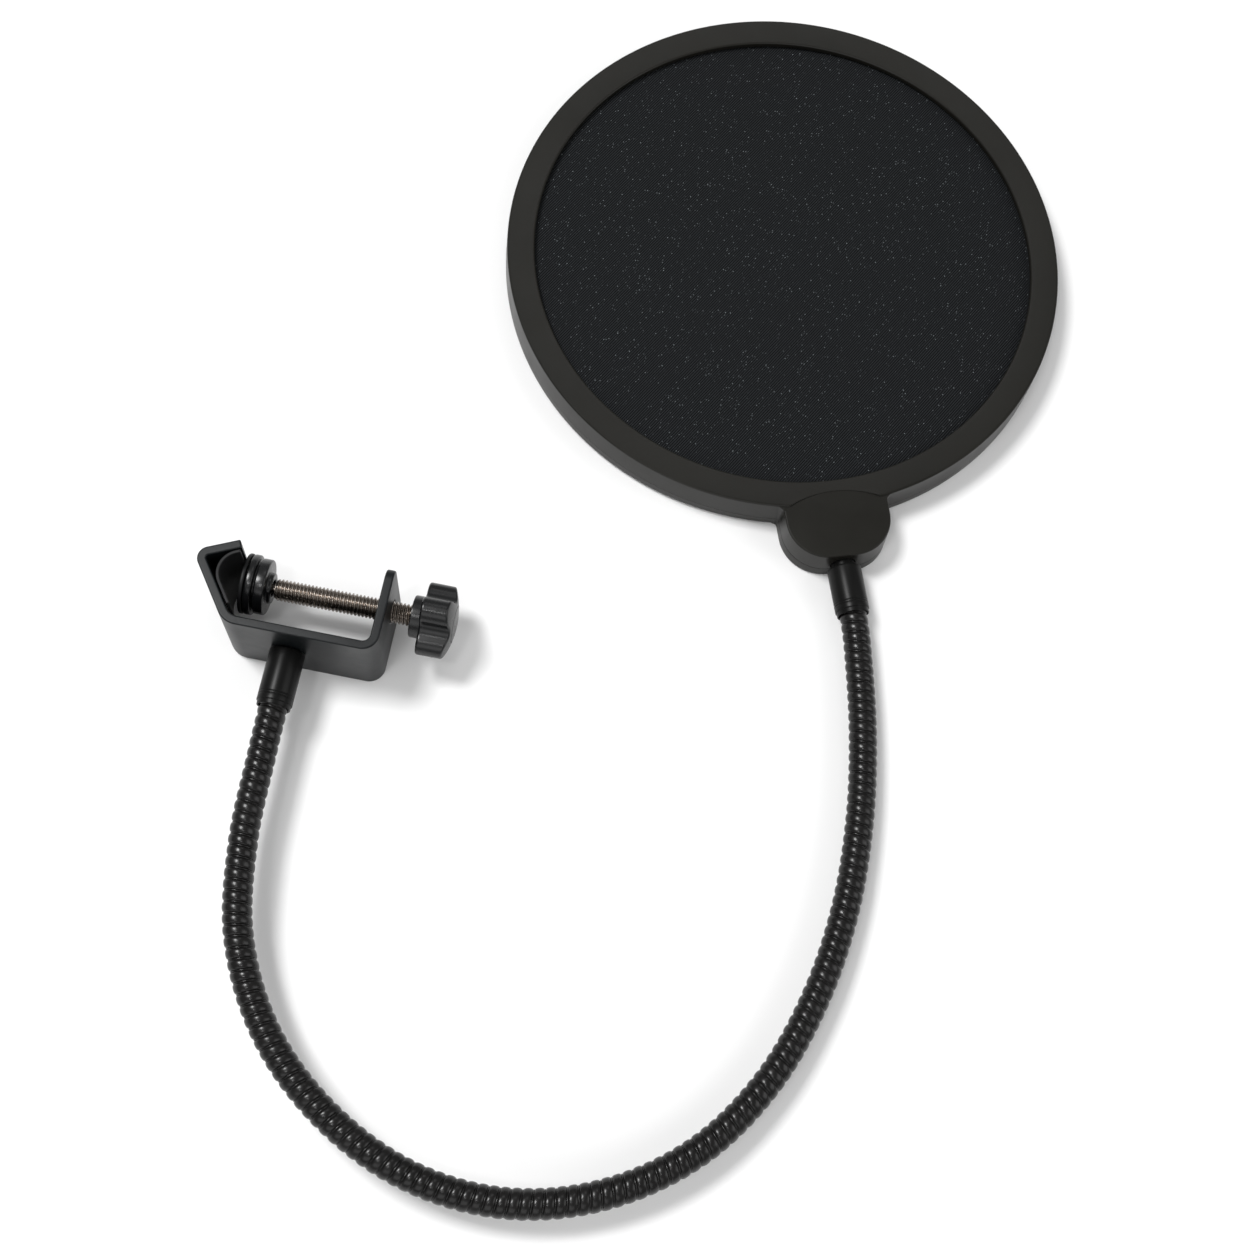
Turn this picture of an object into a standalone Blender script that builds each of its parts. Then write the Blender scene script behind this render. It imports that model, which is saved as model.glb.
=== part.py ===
"""Pop filter: a double-screen filter ring on a gooseneck, held by a screw clamp.

The object lies flat, as it does on a table: +Z is up, the ring's axis and the
clamp strap's width run along Z, and the gooseneck makes a wide U between them.
All places below are measured from the ring's centre, on the surface that the
object lies on. One empty, design_frame, carries them to the part's origin,
which is the middle of the whole object's footprint.
"""
import math

import bmesh
import bpy
import numpy as np
from mathutils import Matrix, Vector

MM = 0.001
GAP = 0.3 * MM                      # clearance between neighbouring pieces
OVERSHOOT = 5.0 * MM                # how far a cutter runs past what it cuts
WELD = 0.002 * MM                   # points nearer than this are one point
CORNER_SHARE = 0.3                  # middle point of a rounding that is made in two steps

# ---------------------------------------------------------------- filter ring
FRAME_X = 28.0 * MM                 # ring centre from the middle of the footprint
FRAME_Y = 98.65 * MM
RING_RADIUS = 81.0 * MM             # top outer edge of the ring
RING_FLARE = 0.3 * MM               # draft of the outer wall, top to bottom
RING_BORE = 73.0 * MM               # radius of the opening over the screens
RING_HEIGHT = 12.5 * MM
FACE_DISH = 0.65 * MM               # how far the ring's face falls towards the bore
EDGE_ROUND = 0.7 * MM
FOOT_ROUND = 1.2 * MM               # the ring's lower outer edge
WALL = 1.4 * MM                     # shell wall
SPLIT_Z = 4.0 * MM                  # parting plane of the two shells
FRONT_LIP_Z = 9.9 * MM              # underside of the front shell's inner lip
REAR_LIP_Z = 2.6 * MM               # top of the rear shell's inner lip
RING_STEPS = 72

SCREEN_RADIUS = 77.9 * MM
SCREEN_THICK = 0.4 * MM
FRONT_SCREEN_Z = 9.2 * MM
REAR_SCREEN_Z = 2.9 * MM
HOOP_BORE = 73.6 * MM
FRONT_HOOP_Z = (7.7 * MM, 8.9 * MM)
SPACER_Z = (5.1 * MM, 7.4 * MM)
SPACER_BORE = 74.6 * MM
REAR_HOOP_Z = (3.6 * MM, 4.8 * MM)

# ------------------------------------------------------------------------ tab
TAB_ANGLE = math.radians(-71.0)     # from the ring's centre towards the tab
TAB_HALF = 14.75 * MM
TAB_END = 96.0 * MM                 # outer end wall, from the ring's centre
TAB_CORNER = 11.3 * MM
TAB_FILLET = 2.0 * MM               # in the corners between tab and ring
TAB_ROOT = 80.2 * MM                # where the tab's block starts, inside the ring's wall
POCKET_ROOT = 78.8 * MM             # where its pocket opens into the ring's channel
POCKET_STEP = 0.15 * MM
BOSS_RELIEF = 0.25 * MM             # bosses end short of the parting plane
TAB_TOP = 12.0 * MM                 # the tab's face, a little below the ring's rim
TAB_EDGE = 0.5 * MM
TAB_FLARE = 0.6 * MM                # draft of the tab's wall, top to bottom
TAB_WALL = 1.3 * MM
ARCH_RADIUS = 28.2 * MM             # arch where the tab's face meets the ring's face
ARCH_TOP = 76.6 * MM
ARCH_RELIEF = 0.02 * MM             # the arch's floor lies this much above the tab's face
BOSS_ALONG = 88.5 * MM              # shell screws, along and across the tab
BOSS_ACROSS = 9.6 * MM
FRONT_BOSS_RADIUS = 2.6 * MM
REAR_BOSS_RADIUS = 3.4 * MM
PILOT_RADIUS = 1.3 * MM
HEAD_CROWN = (0.7, 0.4)             # flat of a screw head's face, height of its crown: shares
CROSS_REACH = 0.55                  # the cross in a screw's head, as shares of its radius
CROSS_WIDTH = 0.14
CROSS_DEPTH = 0.5                   # and of its height
SHELL_SCREW_HEAD = (2.4 * MM, 1.4 * MM)      # radius and height
SHELL_SCREW_RADIUS = 1.0 * MM
SHELL_SCREW_LENGTH = 8.6 * MM
SINK_DEPTH = 1.9 * MM
CRADLE = (86.6 * MM, 88.2 * MM)     # rib that holds the ferrule's tail
CRADLE_HALF = 5.0 * MM

# ------------------------------------------------------------------ gooseneck
NECK_RADIUS = 3.82 * MM
NECK_Z_RING = 6.25 * MM             # height of the gooseneck's axis at the ring
NECK_Z_CLAMP = 14.0 * MM
NECK_X_CLAMP = -110.7 * MM
NECK_GRIP = 8.6 * MM                # length held inside each collar
JOINTS = 10                         # flexing points along the gooseneck
LINK_TAPER = math.radians(25.0)     # cone on each link's end
LINK_TIP = 0.2 * MM                 # from a joint's centre to a link's tip
CONE_TIP = 0.35 * MM                # radius of that tip
LINK_SPANS = 7
NECK_BEVEL = 5
ROUTE_STEPS = 12
# Route of the gooseneck's axis between its two collars, in mm.
NECK_ROUTE = [
    (-110.5, -177.0), (-109.5, -201.0), (-104.5, -225.0), (-92.0, -246.5),
    (-73.5, -262.5), (-51.0, -272.5), (-26.5, -274.5), (-3.0, -268.0),
    (17.5, -254.0), (32.0, -234.5), (41.0, -211.5), (45.5, -187.0),
    (46.0, -162.0), (43.5, -138.0), (38.8, -114.5),
]
COLLAR_RADIUS = 4.75 * MM
COLLAR_STEP = 0.3 * MM              # the thinner end ring of each collar
COLLAR_STEP_LENGTH = 1.2 * MM
COLLAR_EDGE = 0.5 * MM
COLLAR_BORE = 4.13 * MM
RING_COLLAR = (97.8 * MM, 111.6 * MM)        # start and end, from the ring's centre
CLAMP_COLLAR_LENGTH = 15.7 * MM
THROAT_RADIUS = 3.3 * MM            # ferrule where it passes the tab's end wall
FLANGE_RADIUS = 4.0 * MM
FLANGE_LENGTH = 2.4 * MM
TAIL_RADIUS = 2.6 * MM
TAIL_START = 85.6 * MM

# ---------------------------------------------------------------------- clamp
STRAP_WIDTH = 28.0 * MM
STRAP_THICK = 2.4 * MM
AXIS_Z = STRAP_WIDTH / 2
SPINE_Y = -149.2 * MM               # outer face of the spine
LEG_X = -86.3 * MM                  # outer face of the threaded leg
LEG_TIP = (LEG_X, -125.4 * MM)
LEG_BEND = (LEG_X, SPINE_Y)
JAW_BEND = (-126.4 * MM, SPINE_Y)
JAW_VERTEX = (-138.9 * MM, -131.4 * MM)
JAW_TIP = (-127.5 * MM, -126.1 * MM)
BEND_RADII = (4.4 * MM, 6.0 * MM, 3.2 * MM)  # outer face, from the threaded leg to the jaw
LEG_TIP_ROUND = 3.6 * MM
SCREW_HOLE = 3.25 * MM
STUD_HOLE = 2.3 * MM

LINER_THICK = 0.9 * MM
LINER_START = 4.2 * MM              # along the jaw's leg, from its bend
LINER_END = 0.6 * MM                # short of the jaw's tip
LINER_ROUND = 6.4 * MM

SCREW_Y = -133.0 * MM
SCREW_RADIUS = 2.85 * MM
SCREW_SHOULDER_X = -117.9 * MM
SCREW_END_X = -71.5 * MM
BALL_X = -121.5 * MM
BALL_RADIUS = 2.0 * MM
BALL_NECK = 1.4 * MM
CUP_BORE = 2.3 * MM
CUP_RADIUS = 2.75 * MM
CUP_RIM = 1.1 * MM                  # how far the cup reaches past the ball's centre
SOCKET_RADIUS = 3.05 * MM
SOCKET_MOUTH = 2.35 * MM
PAD_FACE_X = -126.3 * MM
PAD_FACE_THICK = 1.0 * MM
PAD_BACK_X = -118.6 * MM
PAD_RADIUS = 8.15 * MM              # the pad's wide tier, towards the work
PAD_EDGE = 0.3 * MM
PAD_FACE_EDGE = 0.5 * MM
TIER_RADIUS = 7.5 * MM              # its narrower tier
TIER_EDGE = 0.5 * MM
TIER_LENGTH = 2.7 * MM
GROOVE_RADIUS = 6.7 * MM            # groove between the tiers
GROOVE_WIDTH = 0.6 * MM
PAD_NECK_RADIUS = 4.2 * MM
PAD_NECK_LENGTH = 1.2 * MM
PAD_STEPS = 32

KNOB_HUB_X = -81.0 * MM
KNOB_X = (-78.2 * MM, -68.8 * MM)
KNOB_RADIUS = 10.2 * MM
KNOB_EDGE = 0.8 * MM
LOBES = 4
LOBE_ROUND = 3.6 * MM
FLUTE_ROUND = 3.2 * MM
HUB_RADIUS = 5.7 * MM
INSERT_RADIUS = 4.2 * MM
INSERT_BORE = 3.15 * MM
INSERT_END_X = -73.0 * MM
INSERT_GROOVE = (0.5 * MM, 1.2 * MM)         # depth and width
HUB_EDGE = 0.4 * MM
KNOB_CORE_END_X = -70.6 * MM

STUD_RADIUS = 1.95 * MM             # screw that holds the gooseneck's collar
STUD_HEAD = (4.0 * MM, 2.2 * MM)
STUD_LENGTH = 11.6 * MM
STUD_BORE = 2.3 * MM
WASHER_RADIUS = 4.6 * MM
WASHER_THICK = 0.6 * MM

# ---------------------------------------------------------------- collections
for old in list(bpy.data.objects):
    bpy.data.objects.remove(old)

model = bpy.data.collections.new("pop_filter")
helpers = bpy.data.collections.new("cutters")
bpy.context.scene.collection.children.link(model)
bpy.context.scene.collection.children.link(helpers)


# ------------------------------------------------------------------ materials
def material(name, colour, roughness, metallic=0.0):
    mat = bpy.data.materials.new(name)
    mat.use_nodes = True
    shader = mat.node_tree.nodes["Principled BSDF"]
    shader.inputs["Base Color"].default_value = (*colour, 1.0)
    shader.inputs["Roughness"].default_value = roughness
    shader.inputs["Metallic"].default_value = metallic
    return mat


satin_black = material("satin_black_plastic", (0.026, 0.025, 0.022), 0.42)
screen_nylon = material("screen_nylon", (0.012, 0.013, 0.014), 0.85)
inner_black = material("inner_plastic", (0.03, 0.03, 0.03), 0.6)
neck_black = material("black_gooseneck", (0.012, 0.012, 0.013), 0.25)
powder_black = material("powder_coated_steel", (0.018, 0.018, 0.019), 0.55)
knob_black = material("knob_plastic", (0.014, 0.014, 0.015), 0.3)
liner_rubber = material("liner_rubber", (0.02, 0.02, 0.021), 0.7)
dark_nickel = material("dark_nickel_steel", (0.22, 0.2, 0.18), 0.3, 1.0)
zinc_steel = material("zinc_steel", (0.55, 0.55, 0.53), 0.35, 1.0)
brass = material("insert_brass", (0.6, 0.45, 0.2), 0.35, 1.0)
acetal = material("seat_acetal", (0.6, 0.6, 0.57), 0.5)


# -------------------------------------------------------- places and parents
def empty(name, at, parent=None):
    """A joint or frame at a place in the design frame."""
    obj = bpy.data.objects.new(name, None)
    obj.empty_display_size = 10 * MM
    model.objects.link(obj)
    obj["at"] = tuple(at)
    if parent is None:
        obj.location = (FRAME_X, FRAME_Y, 0.0)
    else:
        obj.parent = parent
        obj.location = Vector(at) - Vector(parent["at"])
    return obj


frame = empty("design_frame", (0.0, 0.0, 0.0))

ALONG_X = (0.0, math.pi / 2, 0.0)
ALONG_MINUS_Y = (0.0, math.pi / 2, -math.pi / 2)
ALONG_TAB = (0.0, math.pi / 2, TAB_ANGLE)


def place(obj, at=(0.0, 0.0, 0.0), turn=(0.0, 0.0, 0.0), parent=frame):
    """Put an object at a place in the design frame, carried by a joint."""
    obj.parent = parent
    obj.location = Vector(at) - Vector(parent["at"])
    obj.rotation_euler = turn
    return obj


# ------------------------------------------------------------ modelling tools
def add_object(name, mesh, mat, smooth=True):
    """A mesh object in the model, or a hidden cutter where it has no material."""
    obj = bpy.data.objects.new(name, mesh)
    if mat is None:
        helpers.objects.link(obj)
        obj.hide_render = True
        obj.display_type = "WIRE"
    else:
        model.objects.link(obj)
        mesh.materials.append(mat)
    if smooth:
        mesh.shade_smooth()
        mesh.set_sharp_from_angle(angle=math.radians(35.0))
    return obj


def turned(name, profile, mat, steps=32):
    """A turned piece: (radius, height) points that run down the outer side."""
    points = [(radius, 0.0, height) for radius, height in profile]
    edges = [(i, i + 1) for i in range(len(points) - 1)]
    if profile[0][0] > 0.0:
        edges.append((len(points) - 1, 0))
    mesh = bpy.data.meshes.new(name)
    mesh.from_pydata(points, edges, [])
    obj = add_object(name, mesh, mat, smooth=False)
    screw = obj.modifiers.new("turn", "SCREW")
    screw.steps = steps
    screw.render_steps = steps
    screw.use_merge_vertices = True
    screw.merge_threshold = WELD
    screw.use_smooth_shade = False
    return obj


def cylinder(name, radius, bottom, top, steps=24):
    """A cutter cylinder along its own Z."""
    profile = [(0.0, top), (radius, top), (radius, bottom), (0.0, bottom)]
    return turned(name, profile, None, steps)


def lofted(name, rings, mat):
    """A solid skinned over rings of points, each anticlockwise from above, low to high."""
    count = len(rings[0])
    points = [point for ring in rings for point in ring]
    faces = [tuple(reversed(range(count)))]
    for low in range(0, count * (len(rings) - 1), count):
        for i in range(count):
            ahead = (i + 1) % count
            faces.append((low + i, low + ahead, low + count + ahead, low + count + i))
    faces.append(tuple(range(len(points) - count, len(points))))
    mesh = bpy.data.meshes.new(name)
    mesh.from_pydata(points, [], faces)
    return add_object(name, mesh, mat)


def raised(outline, height):
    return [(x, y, height) for x, y in outline]


def box(name, low, high):
    """A cutter box between two corners."""
    outline = [(low[0], low[1]), (high[0], low[1]), (high[0], high[1]), (low[0], high[1])]
    return lofted(name, [raised(outline, low[2]), raised(outline, high[2])], None)


def tube(name, points, radii, mat):
    """A round length of gooseneck through the points, with filled ends."""
    curve = bpy.data.curves.new(name + "_path", "CURVE")
    curve.dimensions = "3D"
    curve.bevel_depth = max(radii)
    curve.bevel_resolution = NECK_BEVEL
    curve.render_resolution_u = 0
    curve.use_fill_caps = True
    spline = curve.splines.new("POLY")
    spline.points.add(len(points) - 1)
    for point, centre, radius in zip(spline.points, points, radii):
        point.co = (*centre, 1.0)
        point.radius = radius / max(radii)
    path = bpy.data.objects.new(name + "_path", curve)
    helpers.objects.link(path)
    graph = bpy.context.evaluated_depsgraph_get()
    mesh = bpy.data.meshes.new_from_object(path.evaluated_get(graph))
    bpy.data.objects.remove(path)
    bm = bmesh.new()
    bm.from_mesh(mesh)
    bmesh.ops.remove_doubles(bm, verts=bm.verts, dist=WELD)
    bm.to_mesh(mesh)
    bm.free()
    mesh.materials.clear()
    return add_object(name, mesh, mat)


def boolean(obj, other, operation):
    mod = obj.modifiers.new(other.name, "BOOLEAN")
    mod.operation = operation
    mod.object = other
    mod.solver = "EXACT"
    return obj


def cut(obj, other):
    return boolean(obj, other, "DIFFERENCE")


def join(obj, other):
    return boolean(obj, other, "UNION")


def arc(centre, radius, start, end, steps):
    """Points on an arc between two angles, in radians."""
    angles = np.linspace(start, end, steps + 1)
    return [(centre[0] + radius * math.cos(a), centre[1] + radius * math.sin(a)) for a in angles]


def rounded_path(corners, radii, steps=5):
    """An open path through corners, each inner corner rounded to its radius."""
    path = [corners[0]]
    for before, corner, after, radius in zip(corners, corners[1:], corners[2:], radii):
        corner = Vector(corner)
        back = (Vector(before) - corner).normalized()
        ahead = (Vector(after) - corner).normalized()
        half = back.angle(ahead) / 2
        centre = corner + (back + ahead).normalized() * radius / math.sin(half)
        first = corner + back * radius / math.tan(half) - centre
        last = corner + ahead * radius / math.tan(half) - centre
        start = math.atan2(first.y, first.x)
        sweep = (math.atan2(last.y, last.x) - start + math.pi) % (2 * math.pi) - math.pi
        path += arc(centre, radius, start, start + sweep, steps)
    path.append(corners[-1])
    return path


def strap(name, path, width, thickness, mat):
    """A flat strap stood on edge along a path, its thickness on the path's right."""
    points = raised(path, 0.0) + raised(path, width)
    count = len(path)
    faces = [(i + 1, i, count + i, count + i + 1) for i in range(count - 1)]
    mesh = bpy.data.meshes.new(name)
    mesh.from_pydata(points, [], faces)
    obj = add_object(name, mesh, mat, smooth=False)
    solid = obj.modifiers.new("thickness", "SOLIDIFY")
    solid.thickness = thickness
    solid.offset = -1.0
    solid.use_even_offset = True
    return obj


# ---------------------------------------------------------------- gooseneck
def on_tab(along, across):
    """A point given along and across the tab, in the design frame."""
    return tuple(Matrix.Rotation(TAB_ANGLE, 3, "Z") @ Vector((along, across, 0.0)))


def neck_route():
    """Closely spaced points on the gooseneck's axis, and the length along it at each."""
    mouth_y = SPINE_Y - GAP - CLAMP_COLLAR_LENGTH
    knots = [(NECK_X_CLAMP, mouth_y + NECK_GRIP), (NECK_X_CLAMP, mouth_y)]
    knots += [(x * MM, y * MM) for x, y in NECK_ROUTE]
    knots += [on_tab(RING_COLLAR[1], 0.0)[:2], on_tab(RING_COLLAR[1] - NECK_GRIP, 0.0)[:2]]
    knots = np.array(knots)
    flat = [knots[0]]
    for before, start, end, after in zip(knots, knots[1:], knots[2:], knots[3:]):
        stretch = np.linalg.norm(end - start)
        lead = (end - before) / np.linalg.norm(end - before) * stretch
        trail = (after - start) / np.linalg.norm(after - start) * stretch
        for t in np.linspace(0.0, 1.0, ROUTE_STEPS, endpoint=False):
            flat.append((2 * t**3 - 3 * t**2 + 1) * start + (t**3 - 2 * t**2 + t) * lead
                        + (3 * t**2 - 2 * t**3) * end + (t**3 - t**2) * trail)
    flat = np.array(flat + [knots[-2], knots[-1]])
    steps = np.linalg.norm(np.diff(flat, axis=0), axis=1)
    along = np.concatenate([[0.0], np.cumsum(steps)])
    share = np.clip((along - NECK_GRIP) / (along[-1] - 2 * NECK_GRIP), 0.0, 1.0)
    ease = share * share * (3 - 2 * share)
    height = NECK_Z_CLAMP + (NECK_Z_RING - NECK_Z_CLAMP) * ease
    return np.column_stack([flat, height]), along


route, route_length = neck_route()
neck_visible = route_length[-1] - 2 * NECK_GRIP
joint_lengths = [NECK_GRIP + neck_visible * (i + 0.5) / JOINTS for i in range(JOINTS)]


def on_neck(length):
    return [float(np.interp(length, route_length, route[:, axis])) for axis in range(3)]


neck_joints = []
for number, length in enumerate(joint_lengths, 1):
    carrier = neck_joints[-1] if neck_joints else frame
    neck_joints.append(empty(f"neck_joint_{number:02d}", on_neck(length), carrier))
head = neck_joints[-1]


def neck_link(number):
    """One length of gooseneck, coned at its joints so that it can bend there."""
    first = number == 1
    last = number == JOINTS + 1
    cone = NECK_RADIUS * math.tan(LINK_TAPER)
    start = 0.0 if first else joint_lengths[number - 2] + LINK_TIP
    end = route_length[-1] if last else joint_lengths[number - 1] - LINK_TIP
    body_start = start if first else start + cone
    body_end = end if last else end - cone
    stations = list(np.linspace(body_start, body_end, LINK_SPANS + 1))
    radii = [NECK_RADIUS] * len(stations)
    if not first:
        stations.insert(0, start)
        radii.insert(0, CONE_TIP)
    if not last:
        stations.append(end)
        radii.append(CONE_TIP)
    link = tube(f"neck_link_{number:02d}", [on_neck(s) for s in stations], radii, neck_black)
    return place(link, parent=frame if first else neck_joints[number - 2])


for number in range(1, JOINTS + 2):
    neck_link(number)


# ------------------------------------------------------------- filter shells
def tab_outline(inset, root, fillet=0.0):
    """The tab from above, along +X: a wide U closed by an arc of the ring's circle."""
    half = TAB_HALF - inset
    corner = TAB_CORNER - inset
    end = TAB_END - inset
    start = math.asin(half / root)
    fillet_arc = []
    if fillet:
        centre_y = half + fillet
        centre_x = math.sqrt((RING_RADIUS + fillet) ** 2 - centre_y**2)
        inward = math.pi + math.atan2(centre_y, centre_x)
        fillet_arc = arc((centre_x, centre_y), fillet, 1.5 * math.pi, inward, 3)
        start = inward - math.pi
    right = arc((end - corner, corner - half), corner, -math.pi / 2, 0.0, 8)
    left = arc((end - corner, half - corner), corner, 0.0, math.pi / 2, 8)
    back = arc((0.0, 0.0), root, start, -start, 6)
    return [*((x, -y) for x, y in reversed(fillet_arc)), *right, *left, *fillet_arc, *back]


def draft(height):
    """How far the tab's wall stands out at a height; a negative inset."""
    return -TAB_FLARE * (1 - height / TAB_TOP)


def tab_block(name, sections):
    """A block in the tab's outline: (inset, root, fillet, height) from low to high."""
    rings = [raised(tab_outline(*section[:3]), section[3]) for section in sections]
    return place(lofted(name, rings, None), turn=(0.0, 0.0, TAB_ANGLE))


def add_bosses(shell, name, radius, bottom, top):
    for side in (-1, 1):
        boss = cylinder(f"{name}_{side + 1}", radius, bottom, top, 20)
        join(shell, place(boss, on_tab(BOSS_ALONG, side * BOSS_ACROSS)))


def drill_bosses(shell, name, profile):
    """A turned hole, given by its profile, through each boss."""
    for side in (-1, 1):
        hole = turned(f"{name}_{side + 1}", profile, None, 18)
        cut(shell, place(hole, on_tab(BOSS_ALONG, side * BOSS_ACROSS)))


def add_cradle(shell, name, bottom, top):
    rib = box(name, (CRADLE[0], -CRADLE_HALF, bottom), (CRADLE[1], CRADLE_HALF, top))
    join(shell, place(rib, turn=(0.0, 0.0, TAB_ANGLE)))


def clear_ferrule(shell, name):
    """The holes for the ferrule in the end wall and in the cradle."""
    wall = cylinder(f"{name}_throat", THROAT_RADIUS + GAP, TAB_END - 2 * WALL, TAB_END + WALL)
    cut(shell, place(wall, (0.0, 0.0, NECK_Z_RING), ALONG_TAB))
    tail = cylinder(f"{name}_tail", TAIL_RADIUS + GAP, CRADLE[0] - MM, CRADLE[1] + MM)
    cut(shell, place(tail, (0.0, 0.0, NECK_Z_RING), ALONG_TAB))


def front_shell():
    bottom = SPLIT_Z + GAP / 2
    face = RING_HEIGHT - FACE_DISH
    roof = face - WALL
    middle = CORNER_SHARE * EDGE_ROUND
    shell = turned("front_shell", [
        (RING_BORE, face - EDGE_ROUND),
        (RING_BORE + middle, face - middle),
        (RING_BORE + EDGE_ROUND, face),
        (RING_RADIUS - EDGE_ROUND, RING_HEIGHT),
        (RING_RADIUS - middle, RING_HEIGHT - middle),
        (RING_RADIUS, RING_HEIGHT - EDGE_ROUND),
        (RING_RADIUS + RING_FLARE, bottom),
        (RING_RADIUS - WALL, bottom),
        (RING_RADIUS - WALL, roof),
        (RING_BORE + WALL, roof),
        (RING_BORE + WALL, FRONT_LIP_Z),
        (RING_BORE, FRONT_LIP_Z),
    ], satin_black, RING_STEPS)
    place(shell, parent=head)
    join(shell, tab_block("front_tab", [
        (draft(bottom), TAB_ROOT, TAB_FILLET + draft(bottom), bottom),
        (0.0, TAB_ROOT, TAB_FILLET, TAB_TOP - TAB_EDGE),
        (TAB_EDGE, TAB_ROOT, TAB_FILLET + TAB_EDGE, TAB_TOP),
    ]))
    cut(shell, tab_block("front_pocket", [
        (TAB_WALL, POCKET_ROOT, 0.0, 0.0),
        (TAB_WALL, POCKET_ROOT, 0.0, roof - POCKET_STEP),
    ]))
    arch = cylinder("tab_arch", ARCH_RADIUS, TAB_TOP + ARCH_RELIEF, TAB_TOP + OVERSHOOT, 96)
    cut(shell, place(arch, on_tab(ARCH_TOP + ARCH_RADIUS, 0.0)))
    add_bosses(shell, "front_boss", FRONT_BOSS_RADIUS, bottom + BOSS_RELIEF, roof)
    drill_bosses(shell, "front_pilot", [
        (0.0, roof),
        (PILOT_RADIUS, roof - PILOT_RADIUS),
        (PILOT_RADIUS, 0.0),
        (0.0, 0.0),
    ])
    add_cradle(shell, "front_cradle", bottom, roof)
    clear_ferrule(shell, "front")
    return shell


def rear_shell():
    top = SPLIT_Z - GAP / 2
    foot = RING_RADIUS + RING_FLARE
    shell = turned("rear_shell", [
        (RING_BORE, REAR_LIP_Z),
        (RING_BORE + WALL, REAR_LIP_Z),
        (RING_BORE + WALL, WALL),
        (RING_RADIUS - WALL, WALL),
        (RING_RADIUS - WALL, top),
        (foot, top),
        (foot, FOOT_ROUND),
        (foot - CORNER_SHARE * FOOT_ROUND, CORNER_SHARE * FOOT_ROUND),
        (foot - FOOT_ROUND, 0.0),
        (RING_BORE + EDGE_ROUND, 0.0),
        (RING_BORE, EDGE_ROUND),
    ], satin_black, RING_STEPS)
    place(shell, parent=head)
    join(shell, tab_block("rear_tab", [
        (draft(0.0) + TAB_EDGE, TAB_ROOT, TAB_FILLET + draft(0.0) + TAB_EDGE, 0.0),
        (draft(TAB_EDGE), TAB_ROOT, TAB_FILLET + draft(TAB_EDGE), TAB_EDGE),
        (draft(top), TAB_ROOT, TAB_FILLET + draft(top), top),
    ]))
    cut(shell, tab_block("rear_pocket", [
        (TAB_WALL, POCKET_ROOT, 0.0, WALL + POCKET_STEP),
        (TAB_WALL, POCKET_ROOT, 0.0, SPLIT_Z + OVERSHOOT),
    ]))
    add_bosses(shell, "rear_boss", REAR_BOSS_RADIUS, GAP, top - BOSS_RELIEF)
    hole_radius = SHELL_SCREW_RADIUS + GAP
    sink_radius = SHELL_SCREW_HEAD[0] + GAP
    drill_bosses(shell, "rear_hole", [
        (0.0, SPLIT_Z + OVERSHOOT),
        (hole_radius, SPLIT_Z + OVERSHOOT),
        (hole_radius, SINK_DEPTH),
        (sink_radius, SINK_DEPTH),
        (sink_radius, -MM),
        (0.0, -MM),
    ])
    add_cradle(shell, "rear_cradle", WALL / 2, top)
    clear_ferrule(shell, "rear")
    return shell


def flat_ring(name, inner, outer, heights, mat):
    bottom, top = heights
    profile = [(inner, top), (outer, top), (outer, bottom), (inner, bottom)]
    return place(turned(name, profile, mat, RING_STEPS), parent=head)


def screen(name, bottom):
    top = bottom + SCREEN_THICK
    profile = [(0.0, top), (SCREEN_RADIUS, top), (SCREEN_RADIUS, bottom), (0.0, bottom)]
    return place(turned(name, profile, screen_nylon, RING_STEPS), parent=head)


def pan_head_screw(name, head_size, shank, length, mat):
    """A cross-headed screw: its head's face is at its own origin, its shank along +Z."""
    radius, height = head_size
    body = turned(name, [
        (0.0, length),
        (shank / 2, length),
        (shank, length - shank),
        (shank, height),
        (radius, height),
        (radius, HEAD_CROWN[1] * height),
        (HEAD_CROWN[0] * radius, 0.0),
        (0.0, 0.0),
    ], mat, 24)
    reach = CROSS_REACH * radius
    width = CROSS_WIDTH * radius
    for index, (x, y) in enumerate(((reach, width), (width, reach))):
        slot = box(f"{name}_slot_{index}", (-x, -y, -height), (x, y, CROSS_DEPTH * height))
        slot.parent = body
        cut(body, slot)
    return body


def ring_ferrule():
    """The collar on the gooseneck's end; its flange and tail are trapped in the tab."""
    start, end = RING_COLLAR
    wall_inside = TAB_END - TAB_WALL - GAP
    floor = end - NECK_GRIP - GAP
    body = turned("ring_ferrule", [
        (0.0, floor),
        (COLLAR_BORE, floor),
        (COLLAR_BORE, end),
        (COLLAR_RADIUS - COLLAR_STEP, end),
        (COLLAR_RADIUS - COLLAR_STEP, end - COLLAR_STEP_LENGTH),
        (COLLAR_RADIUS, end - COLLAR_STEP_LENGTH),
        (COLLAR_RADIUS, start + COLLAR_EDGE),
        (COLLAR_RADIUS - COLLAR_EDGE, start),
        (THROAT_RADIUS, start),
        (THROAT_RADIUS, wall_inside),
        (FLANGE_RADIUS, wall_inside),
        (FLANGE_RADIUS, wall_inside - FLANGE_LENGTH),
        (TAIL_RADIUS, wall_inside - FLANGE_LENGTH),
        (TAIL_RADIUS, TAIL_START),
        (0.0, TAIL_START),
    ], satin_black, 28)
    return place(body, (0.0, 0.0, NECK_Z_RING), ALONG_TAB, head)


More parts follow.
